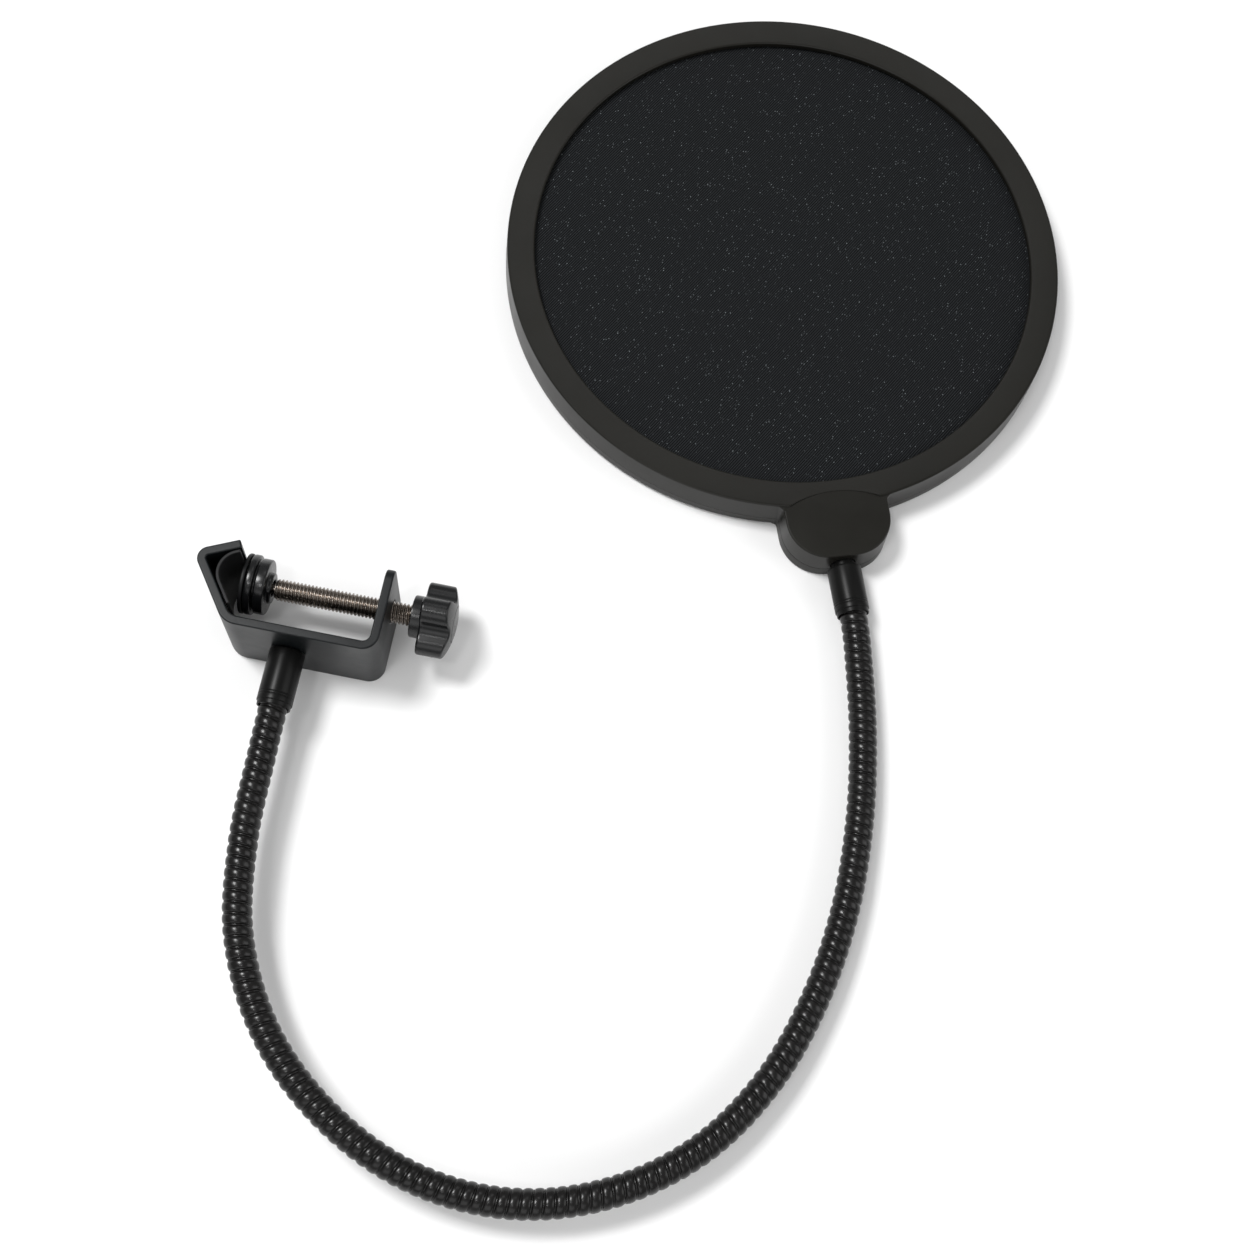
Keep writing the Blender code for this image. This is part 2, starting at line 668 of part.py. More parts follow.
front_shell()
rear_shell()
screen("front_screen", FRONT_SCREEN_Z)
screen("rear_screen", REAR_SCREEN_Z)
flat_ring("front_hoop", HOOP_BORE, SCREEN_RADIUS, FRONT_HOOP_Z, inner_black)
flat_ring("spacer_ring", SPACER_BORE, SCREEN_RADIUS, SPACER_Z, inner_black)
flat_ring("rear_hoop", HOOP_BORE, SCREEN_RADIUS, REAR_HOOP_Z, inner_black)
for side, name in ((1, "shell_screw_right"), (-1, "shell_screw_left")):
    screw = pan_head_screw(name, SHELL_SCREW_HEAD, SHELL_SCREW_RADIUS, SHELL_SCREW_LENGTH, zinc_steel)
    spot = Vector(on_tab(BOSS_ALONG, side * BOSS_ACROSS))
    place(screw, (spot.x, spot.y, SINK_DEPTH - GAP - SHELL_SCREW_HEAD[1]), parent=head)
ring_ferrule()


# ------------------------------------------------------------- clamp bracket
def tip_corner(name, centre_y, corner_z):
    """What the rounding removes at one corner of the threaded leg's tip."""
    towards = 1 if corner_z > 0 else -1
    radius = LEG_TIP_ROUND
    outline = arc((0.0, 0.0), radius, 0.0, math.pi / 2, 5)
    outline += [(-GAP, radius + MM), (radius + MM, radius + MM), (radius + MM, -GAP)]
    outline = [(x, y * towards) for x, y in outline]
    if towards > 0:
        outline.reverse()
    width = 2 * STRAP_THICK
    cutter = lofted(name, [raised(outline, -width), raised(outline, width)], None)
    height = corner_z - radius if towards > 0 else radius
    return place(cutter, (LEG_X - STRAP_THICK / 2, centre_y, height), (math.pi / 2, 0.0, math.pi / 2))


def clamp_bracket():
    path = rounded_path([LEG_TIP, LEG_BEND, JAW_BEND, JAW_VERTEX, JAW_TIP], BEND_RADII)
    bracket = place(strap("clamp_bracket", path, STRAP_WIDTH, STRAP_THICK, powder_black))
    hole = cylinder("screw_hole", SCREW_HOLE, LEG_X - 2 * STRAP_THICK, LEG_X + STRAP_THICK, 28)
    cut(bracket, place(hole, (0.0, SCREW_Y, AXIS_Z), ALONG_X))
    stud_hole = cylinder("stud_hole", STUD_HOLE, -2 * STRAP_THICK, STRAP_THICK)
    cut(bracket, place(stud_hole, (NECK_X_CLAMP, SPINE_Y, AXIS_Z), ALONG_MINUS_Y))
    centre_y = LEG_TIP[1] - LEG_TIP_ROUND
    cut(bracket, tip_corner("tip_corner_low", centre_y, 0.0))
    cut(bracket, tip_corner("tip_corner_high", centre_y, STRAP_WIDTH))
    return bracket


def jaw_liner():
    """A soft strip inside the jaw; it bridges the sharp bend with a rounder one."""
    offset = STRAP_THICK + GAP
    bend, vertex, tip = (Vector(p) for p in (JAW_BEND, JAW_VERTEX, JAW_TIP))
    leg = (vertex - bend).normalized()
    lip = (tip - vertex).normalized()
    start = bend + leg * LINER_START + Vector((leg.y, -leg.x)) * offset
    end = tip - lip * LINER_END + Vector((lip.y, -lip.x)) * offset
    half = (-leg).angle(lip) / 2
    corner = vertex + (lip - leg).normalized() * offset / math.sin(half)
    path = rounded_path([start.to_tuple(), corner.to_tuple(), end.to_tuple()], (LINER_ROUND,), 8)
    return place(strap("jaw_liner", path, STRAP_WIDTH, LINER_THICK, liner_rubber))


def clamp_ferrule():
    mouth = CLAMP_COLLAR_LENGTH
    floor = mouth - NECK_GRIP - GAP
    body = turned("clamp_ferrule", [
        (STUD_BORE, floor),
        (COLLAR_BORE, floor),
        (COLLAR_BORE, mouth),
        (COLLAR_RADIUS - COLLAR_STEP, mouth),
        (COLLAR_RADIUS - COLLAR_STEP, mouth - COLLAR_STEP_LENGTH),
        (COLLAR_RADIUS, mouth - COLLAR_STEP_LENGTH),
        (COLLAR_RADIUS, COLLAR_EDGE),
        (COLLAR_RADIUS - COLLAR_EDGE, 0.0),
        (STUD_BORE, 0.0),
    ], powder_black, 28)
    return place(body, (NECK_X_CLAMP, SPINE_Y - GAP, NECK_Z_CLAMP), ALONG_MINUS_Y)


def stud_washer():
    profile = [
        (STUD_BORE, WASHER_THICK),
        (WASHER_RADIUS, WASHER_THICK),
        (WASHER_RADIUS, 0.0),
        (STUD_BORE, 0.0),
    ]
    washer_y = SPINE_Y + STRAP_THICK + GAP + WASHER_THICK
    washer = turned("neck_washer", profile, zinc_steel, 28)
    return place(washer, (NECK_X_CLAMP, washer_y, AXIS_Z), ALONG_MINUS_Y)


def stud_screw():
    head_face_y = SPINE_Y + STRAP_THICK + 2 * GAP + WASHER_THICK + STUD_HEAD[1]
    screw = pan_head_screw("neck_screw", STUD_HEAD, STUD_RADIUS, STUD_LENGTH, zinc_steel)
    return place(screw, (NECK_X_CLAMP, head_face_y, AXIS_Z), ALONG_MINUS_Y)


clamp_bracket()
jaw_liner()
clamp_ferrule()
stud_washer()
stud_screw()

# ------------------------------------------------------- screw, pad and knob
travel = empty("pad_travel", (BALL_X, SCREW_Y, AXIS_Z), frame)
tilt = empty("pad_tilt", (BALL_X, SCREW_Y, AXIS_Z), travel)
turn = empty("screw_turn", (BALL_X, SCREW_Y, AXIS_Z), travel)


def on_axis(obj, parent):
    """Turned about the clamp screw's axis, heights measured from the ball's centre."""
    return place(obj, (BALL_X, SCREW_Y, AXIS_Z), ALONG_X, parent)


def ball_arc(radius, start, end, steps):
    """Profile points on a sphere round the ball's centre, from one height to another."""
    angles = np.linspace(math.asin(start / radius), math.asin(end / radius), steps + 1)
    return [(radius * math.cos(a), radius * math.sin(a)) for a in angles]


def clamp_screw():
    end = SCREW_END_X - BALL_X
    shoulder = SCREW_SHOULDER_X - BALL_X
    neck_height = math.sqrt(BALL_RADIUS**2 - BALL_NECK**2)
    sphere = ball_arc(BALL_RADIUS, neck_height, -BALL_RADIUS, 7)
    body = turned("clamp_screw", [
        (0.0, end),
        (SCREW_RADIUS - EDGE_ROUND, end),
        (SCREW_RADIUS, end - EDGE_ROUND),
        (SCREW_RADIUS, shoulder + EDGE_ROUND),
        (SCREW_RADIUS - EDGE_ROUND, shoulder),
        (BALL_NECK, shoulder),
        *sphere[:-1],
        (0.0, -BALL_RADIUS),
    ], dark_nickel, 28)
    return on_axis(body, turn)


def ball_seat():
    """The cup that the ball spins in and that the pad rocks on."""
    inside = ball_arc(CUP_BORE, -CUP_BORE, CUP_RIM, 6)
    outside = ball_arc(CUP_RADIUS, CUP_RIM, -CUP_RADIUS, 7)
    profile = [(0.0, -CUP_BORE), *inside[1:], *outside[:-1], (0.0, -CUP_RADIUS)]
    return on_axis(turned("ball_seat", profile, acetal, 24), travel)


def pressure_pad():
    """Two tiers and a short neck round the socket that snaps over the ball's cup."""
    front = PAD_FACE_X + PAD_FACE_THICK + GAP - BALL_X
    back = PAD_BACK_X - BALL_X
    tier_back = back - PAD_NECK_LENGTH
    tier_front = tier_back - TIER_LENGTH
    wide_back = tier_front - GROOVE_WIDTH
    mouth = math.sqrt(SOCKET_RADIUS**2 - SOCKET_MOUTH**2)
    socket = ball_arc(SOCKET_RADIUS, -SOCKET_RADIUS, mouth, 7)
    body = turned("pressure_pad", [
        (0.0, -SOCKET_RADIUS),
        *socket[1:],
        (SOCKET_MOUTH, back),
        (PAD_NECK_RADIUS, back),
        (PAD_NECK_RADIUS, tier_back),
        (TIER_RADIUS - TIER_EDGE, tier_back),
        (TIER_RADIUS, tier_back - TIER_EDGE),
        (TIER_RADIUS, tier_front),
        (GROOVE_RADIUS, tier_front),
        (GROOVE_RADIUS, wide_back),
        (PAD_RADIUS - PAD_EDGE, wide_back),
        (PAD_RADIUS, wide_back - PAD_EDGE),
        (PAD_RADIUS, front),
        (0.0, front),
    ], knob_black, PAD_STEPS)
    return on_axis(body, tilt)


def pad_face():
    front = PAD_FACE_X - BALL_X
    back = front + PAD_FACE_THICK
    profile = [
        (0.0, back),
        (PAD_RADIUS, back),
        (PAD_RADIUS, front + PAD_FACE_EDGE),
        (PAD_RADIUS - PAD_FACE_EDGE, front),
        (0.0, front),
    ]
    return on_axis(turned("pad_face", profile, liner_rubber, PAD_STEPS), tilt)


def knob_outline(inset):
    """Lobes and flutes from above, anticlockwise, all arcs running into each other."""
    lobe = LOBE_ROUND - inset
    flute = FLUTE_ROUND + inset
    lobe_at = KNOB_RADIUS - LOBE_ROUND
    half = math.pi / LOBES
    reach = LOBE_ROUND + FLUTE_ROUND
    flute_at = lobe_at * math.cos(half) + math.sqrt(reach**2 - (lobe_at * math.sin(half)) ** 2)
    lean = math.atan2(flute_at * math.sin(half), flute_at * math.cos(half) - lobe_at)
    outline = []
    for index in range(LOBES):
        angle = 2 * half * index
        lobe_centre = (lobe_at * math.cos(angle), lobe_at * math.sin(angle))
        outline += arc(lobe_centre, lobe, angle - lean, angle + lean, 8)
        middle = angle + half
        flute_centre = (flute_at * math.cos(middle), flute_at * math.sin(middle))
        swing = lean - half
        outline += arc(flute_centre, flute, middle + math.pi + swing, middle + math.pi - swing, 4)[1:-1]
    return outline


def clamp_knob():
    low = KNOB_X[0] - BALL_X
    high = KNOB_X[1] - BALL_X
    middle = CORNER_SHARE * KNOB_EDGE
    edges = [
        raised(knob_outline(KNOB_EDGE), low),
        raised(knob_outline(middle), low + middle),
        raised(knob_outline(0.0), low + KNOB_EDGE),
        raised(knob_outline(0.0), high - KNOB_EDGE),
        raised(knob_outline(middle), high - middle),
        raised(knob_outline(KNOB_EDGE), high),
    ]
    knob = on_axis(lofted("clamp_knob", edges, knob_black), turn)
    hub_low = KNOB_HUB_X - BALL_X
    hub = turned("knob_hub", [
        (0.0, low + MM),
        (HUB_RADIUS, low + MM),
        (HUB_RADIUS, hub_low + HUB_EDGE),
        (HUB_RADIUS - HUB_EDGE, hub_low),
        (0.0, hub_low),
    ], None, 28)
    join(knob, on_axis(hub, turn))
    insert_end = INSERT_END_X + GAP - BALL_X
    cut(knob, on_axis(cylinder("insert_pocket", INSERT_RADIUS + GAP, hub_low - MM, insert_end, 28), turn))
    core_end = KNOB_CORE_END_X - BALL_X
    cut(knob, on_axis(cylinder("screw_pocket", INSERT_BORE, insert_end - MM, core_end, 28), turn))
    return knob


def knob_insert():
    low = KNOB_HUB_X + GAP - BALL_X
    high = INSERT_END_X - BALL_X
    depth, width = INSERT_GROOVE
    middle = (low + high) / 2
    profile = [
        (INSERT_BORE, high),
        (INSERT_RADIUS, high),
        (INSERT_RADIUS, middle + width / 2),
        (INSERT_RADIUS - depth, middle + width / 2),
        (INSERT_RADIUS - depth, middle - width / 2),
        (INSERT_RADIUS, middle - width / 2),
        (INSERT_RADIUS, low),
        (INSERT_BORE, low),
    ]
    return on_axis(turned("knob_insert", profile, brass, 28), turn)


ball_seat()
pressure_pad()
pad_face()
clamp_screw()
clamp_knob()
knob_insert()
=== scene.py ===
"""Looks of the pop filter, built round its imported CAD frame.

The ring's shells, the screens, the wound gooseneck, the strap and all small
turned pieces are modelled finely here, and stand for the plain CAD solids.
Places are measured from the filter ring's centre, which the frame gives, on
the surface that the object lies on. Lengths are in metres.
"""

import math

import bmesh
import bpy
import numpy as np
from mathutils import Matrix, Vector


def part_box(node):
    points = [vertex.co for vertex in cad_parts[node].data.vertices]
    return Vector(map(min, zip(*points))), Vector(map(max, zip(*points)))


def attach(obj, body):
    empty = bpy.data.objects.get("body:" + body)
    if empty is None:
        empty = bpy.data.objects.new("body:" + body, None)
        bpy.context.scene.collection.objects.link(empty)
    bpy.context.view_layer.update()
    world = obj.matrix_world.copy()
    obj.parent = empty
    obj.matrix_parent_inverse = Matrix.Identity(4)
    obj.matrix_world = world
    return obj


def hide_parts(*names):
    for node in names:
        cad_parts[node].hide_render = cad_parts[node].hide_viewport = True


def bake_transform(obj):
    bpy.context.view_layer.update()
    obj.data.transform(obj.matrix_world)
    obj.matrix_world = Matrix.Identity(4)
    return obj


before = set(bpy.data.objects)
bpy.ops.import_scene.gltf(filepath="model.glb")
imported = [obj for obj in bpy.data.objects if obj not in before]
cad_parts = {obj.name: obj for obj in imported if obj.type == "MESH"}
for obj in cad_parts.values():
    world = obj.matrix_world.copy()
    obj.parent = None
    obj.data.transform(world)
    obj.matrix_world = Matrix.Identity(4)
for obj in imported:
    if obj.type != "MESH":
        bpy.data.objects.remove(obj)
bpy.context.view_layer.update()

MM = 0.001
GAP = 0.3 * MM
WELD = 0.05 * MM

screen_low, screen_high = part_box("front_screen")
CENTRE = Vector(((screen_low.x + screen_high.x) / 2, (screen_low.y + screen_high.y) / 2, 0.0))

# ---- filter ring
RING_RADIUS = 81.0 * MM
RING_FLARE = 0.3 * MM
RING_BORE = 73.0 * MM
RING_HEIGHT = 12.5 * MM
FACE_DISH = 0.65 * MM
DISH_MIDDLE = 0.55  # share of the dish that is left half way across
FRONT_EDGE = 0.75 * MM
REAR_EDGE = 0.5 * MM
FOOT_ROUNDING = ((0.0, 1.3 * MM), (0.3 * MM, 0.4 * MM), (1.1 * MM, 0.0))  # inset, height
WALL = 1.4 * MM
CUT_PAST = 5.0 * MM  # how far a cutter reaches past what it cuts
SPLIT_Z = 4.0 * MM
SEAM_GAP = 0.08 * MM  # between the two shells' walls
SEAM_EDGE = 0.12 * MM
FRONT_LIP_Z = 9.9 * MM
REAR_LIP_Z = 2.6 * MM
SCREEN_RADIUS = 77.9 * MM
FRONT_SCREEN_Z = 9.55 * MM
REAR_SCREEN_Z = 2.95 * MM
SCREEN_THICK = 0.3 * MM
SCREEN_SPOKES = 192
SCREEN_RINGS = 40
FRONT_DIP = 0.1 * MM
REAR_DIP = -0.05 * MM
WIDE_PUCKER = 0.05 * MM
FINE_PUCKER = 0.035 * MM

TAB_ANGLE = math.radians(-71.0)
TAB_HALF = 14.75 * MM
TAB_END = 96.0 * MM
TAB_CORNER = 11.3 * MM
TAB_FILLET = 2.0 * MM
TAB_ROOT = 80.2 * MM
TAB_TOP = 12.0 * MM
TAB_FLARE = 0.6 * MM
TAB_EDGE = 0.6 * MM
TAB_WALL = 1.3 * MM
ARCH_RADIUS = 28.2 * MM
ARCH_TOP = 76.6 * MM
ARCH_DEPTH = 0.05 * MM
ARCH_SLOPE = 0.04 * MM
POCKET_ROOT = 78.8 * MM
POCKET_STEP = 0.15 * MM
BOSS_ALONG = 88.5 * MM
BOSS_ACROSS = 9.6 * MM
BOSS_RELIEF = 0.25 * MM
FRONT_BOSS_RADIUS = 2.6 * MM
REAR_BOSS_RADIUS = 3.4 * MM
PILOT_RADIUS = 1.3 * MM
SINK_DEPTH = 1.9 * MM
SINK_RADIUS = 2.7 * MM
SINK_LEAD = 0.6 * MM  # chamfer at the sink's mouth
SINK_LEAD_TOP = 0.35 * MM
SHELL_SCREW = {  # the head's radius and height; the crests' radius
    "head": (2.4 * MM, 1.4 * MM), "shank": 1.0 * MM, "length": 8.6 * MM, "pitch": 0.8 * MM,
}

# ---- gooseneck
NECK_RADIUS = 3.82 * MM
NECK_Z_RING = 6.25 * MM
NECK_Z_CLAMP = 14.0 * MM
NECK_X_CLAMP = -110.7 * MM
NECK_GRIP = 8.6 * MM
JOINTS = 10
ROUTE_STEPS = 12
NECK_ROUTE = [
    (-110.5, -177.0), (-109.5, -201.0), (-104.5, -225.0), (-92.0, -246.5),
    (-73.5, -262.5), (-51.0, -272.5), (-26.5, -274.5), (-3.0, -268.0),
    (17.5, -254.0), (32.0, -234.5), (41.0, -211.5), (45.5, -187.0),
    (46.0, -162.0), (43.5, -138.0), (38.8, -114.5),
]
WIND_PITCH = 2.85 * MM  # one turn of both wires
BAND_SHARE = 0.84  # share of the pitch that the round wire takes
BAND_DROP = 0.24 * MM  # how far the wide wire falls to its seams
BAND_SQUARENESS = 2.7
BAND_REACH = 0.46  # half width of its crest, as a share of the wire
BAND_SAMPLES = 11
RIDGE_DROP = 0.34 * MM  # crest of the narrow wire, below the wide one's
RIDGE_FALL = 0.06 * MM
RIDGE_REACH = 0.42
RIDGE_SAMPLES = 3
SEAM_RADIUS = 3.36 * MM
WIND_SIDES = 40
RING_COLLAR = (97.8 * MM, 111.6 * MM)
CLAMP_COLLAR_LENGTH = 15.7 * MM
COLLAR_RADIUS = 4.75 * MM
COLLAR_BORE = 3.95 * MM
COLLAR_STEP = 0.3 * MM
COLLAR_STEP_LENGTH = 1.2 * MM
COLLAR_EDGE = 0.45 * MM
COLLAR_MOUTH = (0.25 * MM, 0.3 * MM)  # chamfer's width and depth
GROOVES = (2.6 * MM, 3.3 * MM)  # from the collar's mouth
GROOVE_DEPTH = 0.12 * MM
GROOVE_WIDTH = 0.28 * MM
GROOVE_SIDE = 0.08 * MM
THROAT_RADIUS = 3.3 * MM
FLANGE_RADIUS = 4.0 * MM
FLANGE_THICK = 2.4 * MM
TAIL_RADIUS = 2.6 * MM
TAIL_END = 85.6 * MM

# ---- clamp
STRAP_WIDTH = 28.0 * MM
STRAP_THICK = 2.4 * MM
STRAP_EDGE = 0.45 * MM
AXIS_Z = STRAP_WIDTH / 2
SPINE_Y = -149.2 * MM
LEG_X = -86.3 * MM
LEG_TIP = (LEG_X, -125.4 * MM)
LEG_BEND = (LEG_X, SPINE_Y)
JAW_BEND = (-126.4 * MM, SPINE_Y)
JAW_VERTEX = (-138.9 * MM, -131.4 * MM)
JAW_TIP = (-127.5 * MM, -126.1 * MM)
BEND_RADII = (4.4 * MM, 6.0 * MM, 3.2 * MM)
LEG_TIP_ROUND = 3.6 * MM
SCREW_HOLE = 3.2 * MM
STUD_HOLE = 2.3 * MM
STUD = {
    "head": (4.0 * MM, 2.2 * MM), "shank": 1.95 * MM, "length": 11.6 * MM, "pitch": 0.7 * MM,
}
FACE_SHARE = 0.72  # a screw head's flat face, its rounding's depth and its cross, as shares
RIM_SHARE = 0.45
CROSS_REACH = 0.55
CROSS_WIDTH = 0.14
CROSS_DEPTH = 0.6
CUT_SHARE = 0.14  # a small screw's thread depth
WASHER_RADIUS = 4.6 * MM
WASHER_THICK = 0.6 * MM
WASHER_EDGE = 0.12 * MM
LINER_THICK = 0.9 * MM
LINER_EDGE = 0.25 * MM
LINER_START = 4.2 * MM
LINER_END = 0.6 * MM
LINER_ROUND = 6.4 * MM

SCREW_Y = -133.0 * MM
THREAD_PITCH = 1.0 * MM
THREAD_CREST = 2.95 * MM
THREAD_DEPTH = 0.55 * MM
THREAD_CREST_FLAT = 0.12  # shares of half a pitch
THREAD_FLANK = 0.66
THREAD_FADE = 0.7  # pitches over which a thread fades out at an end
THREAD_SAMPLES = 12
THREAD_SIDES = 36
SCREW_START_X = -117.9 * MM
SCREW_END_X = -71.5 * MM
BALL_X = -121.5 * MM
BALL_RADIUS = 2.0 * MM
BALL_NECK = 1.4 * MM
SOCKET_RADIUS = 3.05 * MM
SOCKET_MOUTH = 2.35 * MM
PAD_FACE_X = -126.3 * MM
PAD_BACK_X = -118.6 * MM
PAD_RADIUS = 8.15 * MM
PAD_EDGE = 0.5 * MM
PAD_HUB_RADIUS = 4.2 * MM
PAD_HUB_LENGTH = 1.2 * MM
TIER_RADIUS = 7.5 * MM
TIER_LENGTH = 2.7 * MM
PAD_GROOVE_RADIUS = 6.7 * MM
PAD_GROOVE_WIDTH = 0.6 * MM
FACING_THICK = 1.0 * MM
FACING_EDGE = 0.35 * MM
FACING_GROOVE = 6.15 * MM  # radius of its middle
FACING_GROOVE_MOUTH = 0.45 * MM  # half widths
FACING_GROOVE_FLOOR = 0.25 * MM
FACING_GROOVE_DEPTH = 0.25 * MM
KNOB_HUB_X = -81.0 * MM
KNOB_X = (-78.2 * MM, -68.8 * MM)
KNOB_RADIUS = 10.2 * MM
KNOB_EDGE = 0.8 * MM
KNOB_RIM = 0.45 * MM
KNOB_DOME = 2.3 * MM  # how far the domed end falls to the lobes' tips
KNOB_FACE_INSET = 3.0 * MM
LOBES = 4
LOBE_ROUND = 3.6 * MM
FLUTE_ROUND = 3.2 * MM
DOME_SHARES = (0.94, 0.84, 0.7, 0.54, 0.38, 0.22, 0.08)  # of the lobes' outline
HUB_RADIUS = 5.7 * MM
HUB_EDGE = 0.5 * MM
CAP_LINE = (4.9 * MM, 5.15 * MM)
CAP_LINE_DEPTH = 0.75 * MM
SCREW_POCKET_RADIUS = 3.15 * MM
SCREW_POCKET_X = -70.6 * MM
INSERT_BORE = 3.1 * MM
INSERT_RADIUS = 4.2 * MM
INSERT_END_X = -73.0 * MM
INSERT_WAIST = 3.7 * MM
INSERT_WAIST_X = (-76.5 * MM, -77.5 * MM)
INSERT_EDGE = 0.15 * MM


# ---- camera, light
CAMERA_FROM_CENTRE = Vector((-25.2, -288.8, 472.0)) * MM
CAMERA_PITCH = math.radians(70.18)  # below the horizon
CAMERA_ROLL = math.radians(11.09)
CAMERA_LENS = 52.36
SENSOR = 36.0
WORLD_STRENGTH = 0.38
LIGHT_AIM = Vector((0.0, -0.05, 0.0))
SOFT_BOXES = (  # name, place, size, power in watts
    ("key", (-0.62, 0.15, 1.25), (0.36, 0.36), 15.5),
    ("front", (-0.2, -1.4, 1.0), (1.8, 0.9), 7.0),
    ("right", (1.4, 0.0, 1.1), (1.2, 1.2), 9.0),
    ("back", (0.0, 1.0, 1.25), (0.4, 0.4), 1.1),
    ("overhead", (-0.27, -0.4, 1.3), (0.14, 0.14), 1.8),
)
FLOOR_REACH = 12.0
FLOOR_DROP = 0.05 * MM
FLOOR_WHITE = (0.8, 0.8, 0.8, 1.0)
FLOOR_ROUGH = 0.9


def placed(name, data):
    """A new object in the scene, outside the object's own pieces."""
    obj = bpy.data.objects.new(name, data)
    bpy.context.scene.collection.objects.link(obj)
    return obj


def make_camera():
    forward = Vector((0.0, math.cos(CAMERA_PITCH), -math.sin(CAMERA_PITCH)))
    right = Vector((1.0, 0.0, 0.0))
    up = right.cross(forward)
    across = right * math.cos(CAMERA_ROLL) + up * math.sin(CAMERA_ROLL)
    above = up * math.cos(CAMERA_ROLL) - right * math.sin(CAMERA_ROLL)
    data = bpy.data.cameras.new("camera")
    data.lens = CAMERA_LENS
    data.sensor_width = SENSOR
    data.clip_start = 0.01
    data.clip_end = 20.0
    camera = placed("camera", data)
    turn = Matrix((across, above, -forward)).transposed()
    camera.matrix_world = Matrix.Translation(CENTRE + CAMERA_FROM_CENTRE) @ turn.to_4x4()
    bpy.context.scene.camera = camera


def soft_box(name, place, size, power):
    data = bpy.data.lights.new(name, "AREA")
    data.shape = "RECTANGLE"
    data.size, data.size_y = size
    data.energy = power
    light = placed(name, data)
    light.location = place
    light.rotation_euler = (LIGHT_AIM - Vector(place)).to_track_quat("-Z", "Y").to_euler()


def make_studio():
    bpy.context.scene.view_settings.view_transform = "Standard"
    world = bpy.data.worlds.new("studio")
    bpy.context.scene.world = world
    world.use_nodes = True
    background = world.node_tree.nodes["Background"]
    background.inputs["Color"].default_value = (1.0, 1.0, 1.0, 1.0)
    background.inputs["Strength"].default_value = WORLD_STRENGTH
    for box in SOFT_BOXES:
        soft_box(*box)


def make_floor():
    reach = FLOOR_REACH
    corners = [(-reach, -reach, 0.0), (reach, -reach, 0.0), (reach, reach, 0.0), (-reach, reach, 0.0)]
    data = bpy.data.meshes.new("floor")
    data.from_pydata(corners, [], [(0, 1, 2, 3)])
    floor = placed("floor", data)
    floor.location.z = -FLOOR_DROP
    paper = bpy.data.materials.new("floor_paper")
    paper.use_nodes = True
    shader = paper.node_tree.nodes["Principled BSDF"]
    shader.inputs["Base Color"].default_value = FLOOR_WHITE
    shader.inputs["Roughness"].default_value = FLOOR_ROUGH
    data.materials.append(paper)


make_camera()
make_studio()
make_floor()


# ---- materials
class Nodes:
    """Short calls for building one material's node tree."""

    def __init__(self, name):
        self.material = bpy.data.materials.new(name)
        self.material.use_nodes = True
        self.tree = self.material.node_tree
        self.shader = self.tree.nodes["Principled BSDF"]
        coordinates = self.tree.nodes.new("ShaderNodeTexCoord")
        self.place = coordinates.outputs["Object"]

    def add(self, kind, links=(), **settings):
        node = self.tree.nodes.new(kind)
        for key, value in settings.items():
            if hasattr(node, key):
                setattr(node, key, value)
            else:
                node.inputs[key.replace("_", " ")].default_value = value
        for socket, source in dict(links).items():
            self.tree.links.new(source, node.inputs[socket])
        return node

    def set(self, **values):
        for key, value in values.items():
            self.shader.inputs[key.replace("_", " ")].default_value = value

    def link(self, socket, source):
        self.tree.links.new(source, self.shader.inputs[socket])

    def noise(self, scale, detail=3.0, rough=0.5):
        links = {"Vector": self.place}
        node = self.add("ShaderNodeTexNoise", links, Scale=scale, Detail=detail, Roughness=rough)
        return node.outputs["Fac"]

    def ramp(self, source, stops):
        node = self.add("ShaderNodeValToRGB", {"Fac": source})
        elements = node.color_ramp.elements
        while len(elements) < len(stops):
            elements.new(0.5)
        for element, (position, colour) in zip(elements, stops):
            element.position = position
            element.color = (*colour, 1.0)
        return node.outputs["Color"]

    def spread(self, source, low, high, source_low=0.3, source_high=0.7):
        node = self.add("ShaderNodeMapRange", {"Value": source})
        for index, value in enumerate((source_low, source_high, low, high), 1):
            node.inputs[index].default_value = value
        return node.outputs["Result"]

    def bump(self, height, strength, distance):
        node = self.add("ShaderNodeBump", {"Height": height}, Strength=strength, Distance=distance)
        return node.outputs["Normal"]

    def math(self, operation, first, second):
        node = self.add("ShaderNodeMath", operation=operation)
        for socket, value in zip(node.inputs, (first, second)):
            if isinstance(value, float):
                socket.default_value = value
            else:
                self.tree.links.new(value, socket)
        return node.outputs[0]


def shade(colour, factor):
    return tuple(min(1.0, channel * factor) for channel in colour)


def moulded(name, colour, rough, shine=0.5, grain=1500.0, grain_depth=0.02 * MM, grain_strength=0.35):
    """Moulded or coated black: fine grain, faint clouding and uneven gloss."""
    n = Nodes(name)
    cloud = n.noise(38.0, 4.0)
    n.link("Base Color", n.ramp(cloud, [(0.3, shade(colour, 0.85)), (0.72, shade(colour, 1.18))]))
    n.link("Roughness", n.spread(n.noise(75.0, 5.0, 0.6), *rough))
    n.link("Normal", n.bump(n.noise(grain, 2.0), grain_strength, grain_depth))
    n.set(Specular_IOR_Level=shine)
    return n.material


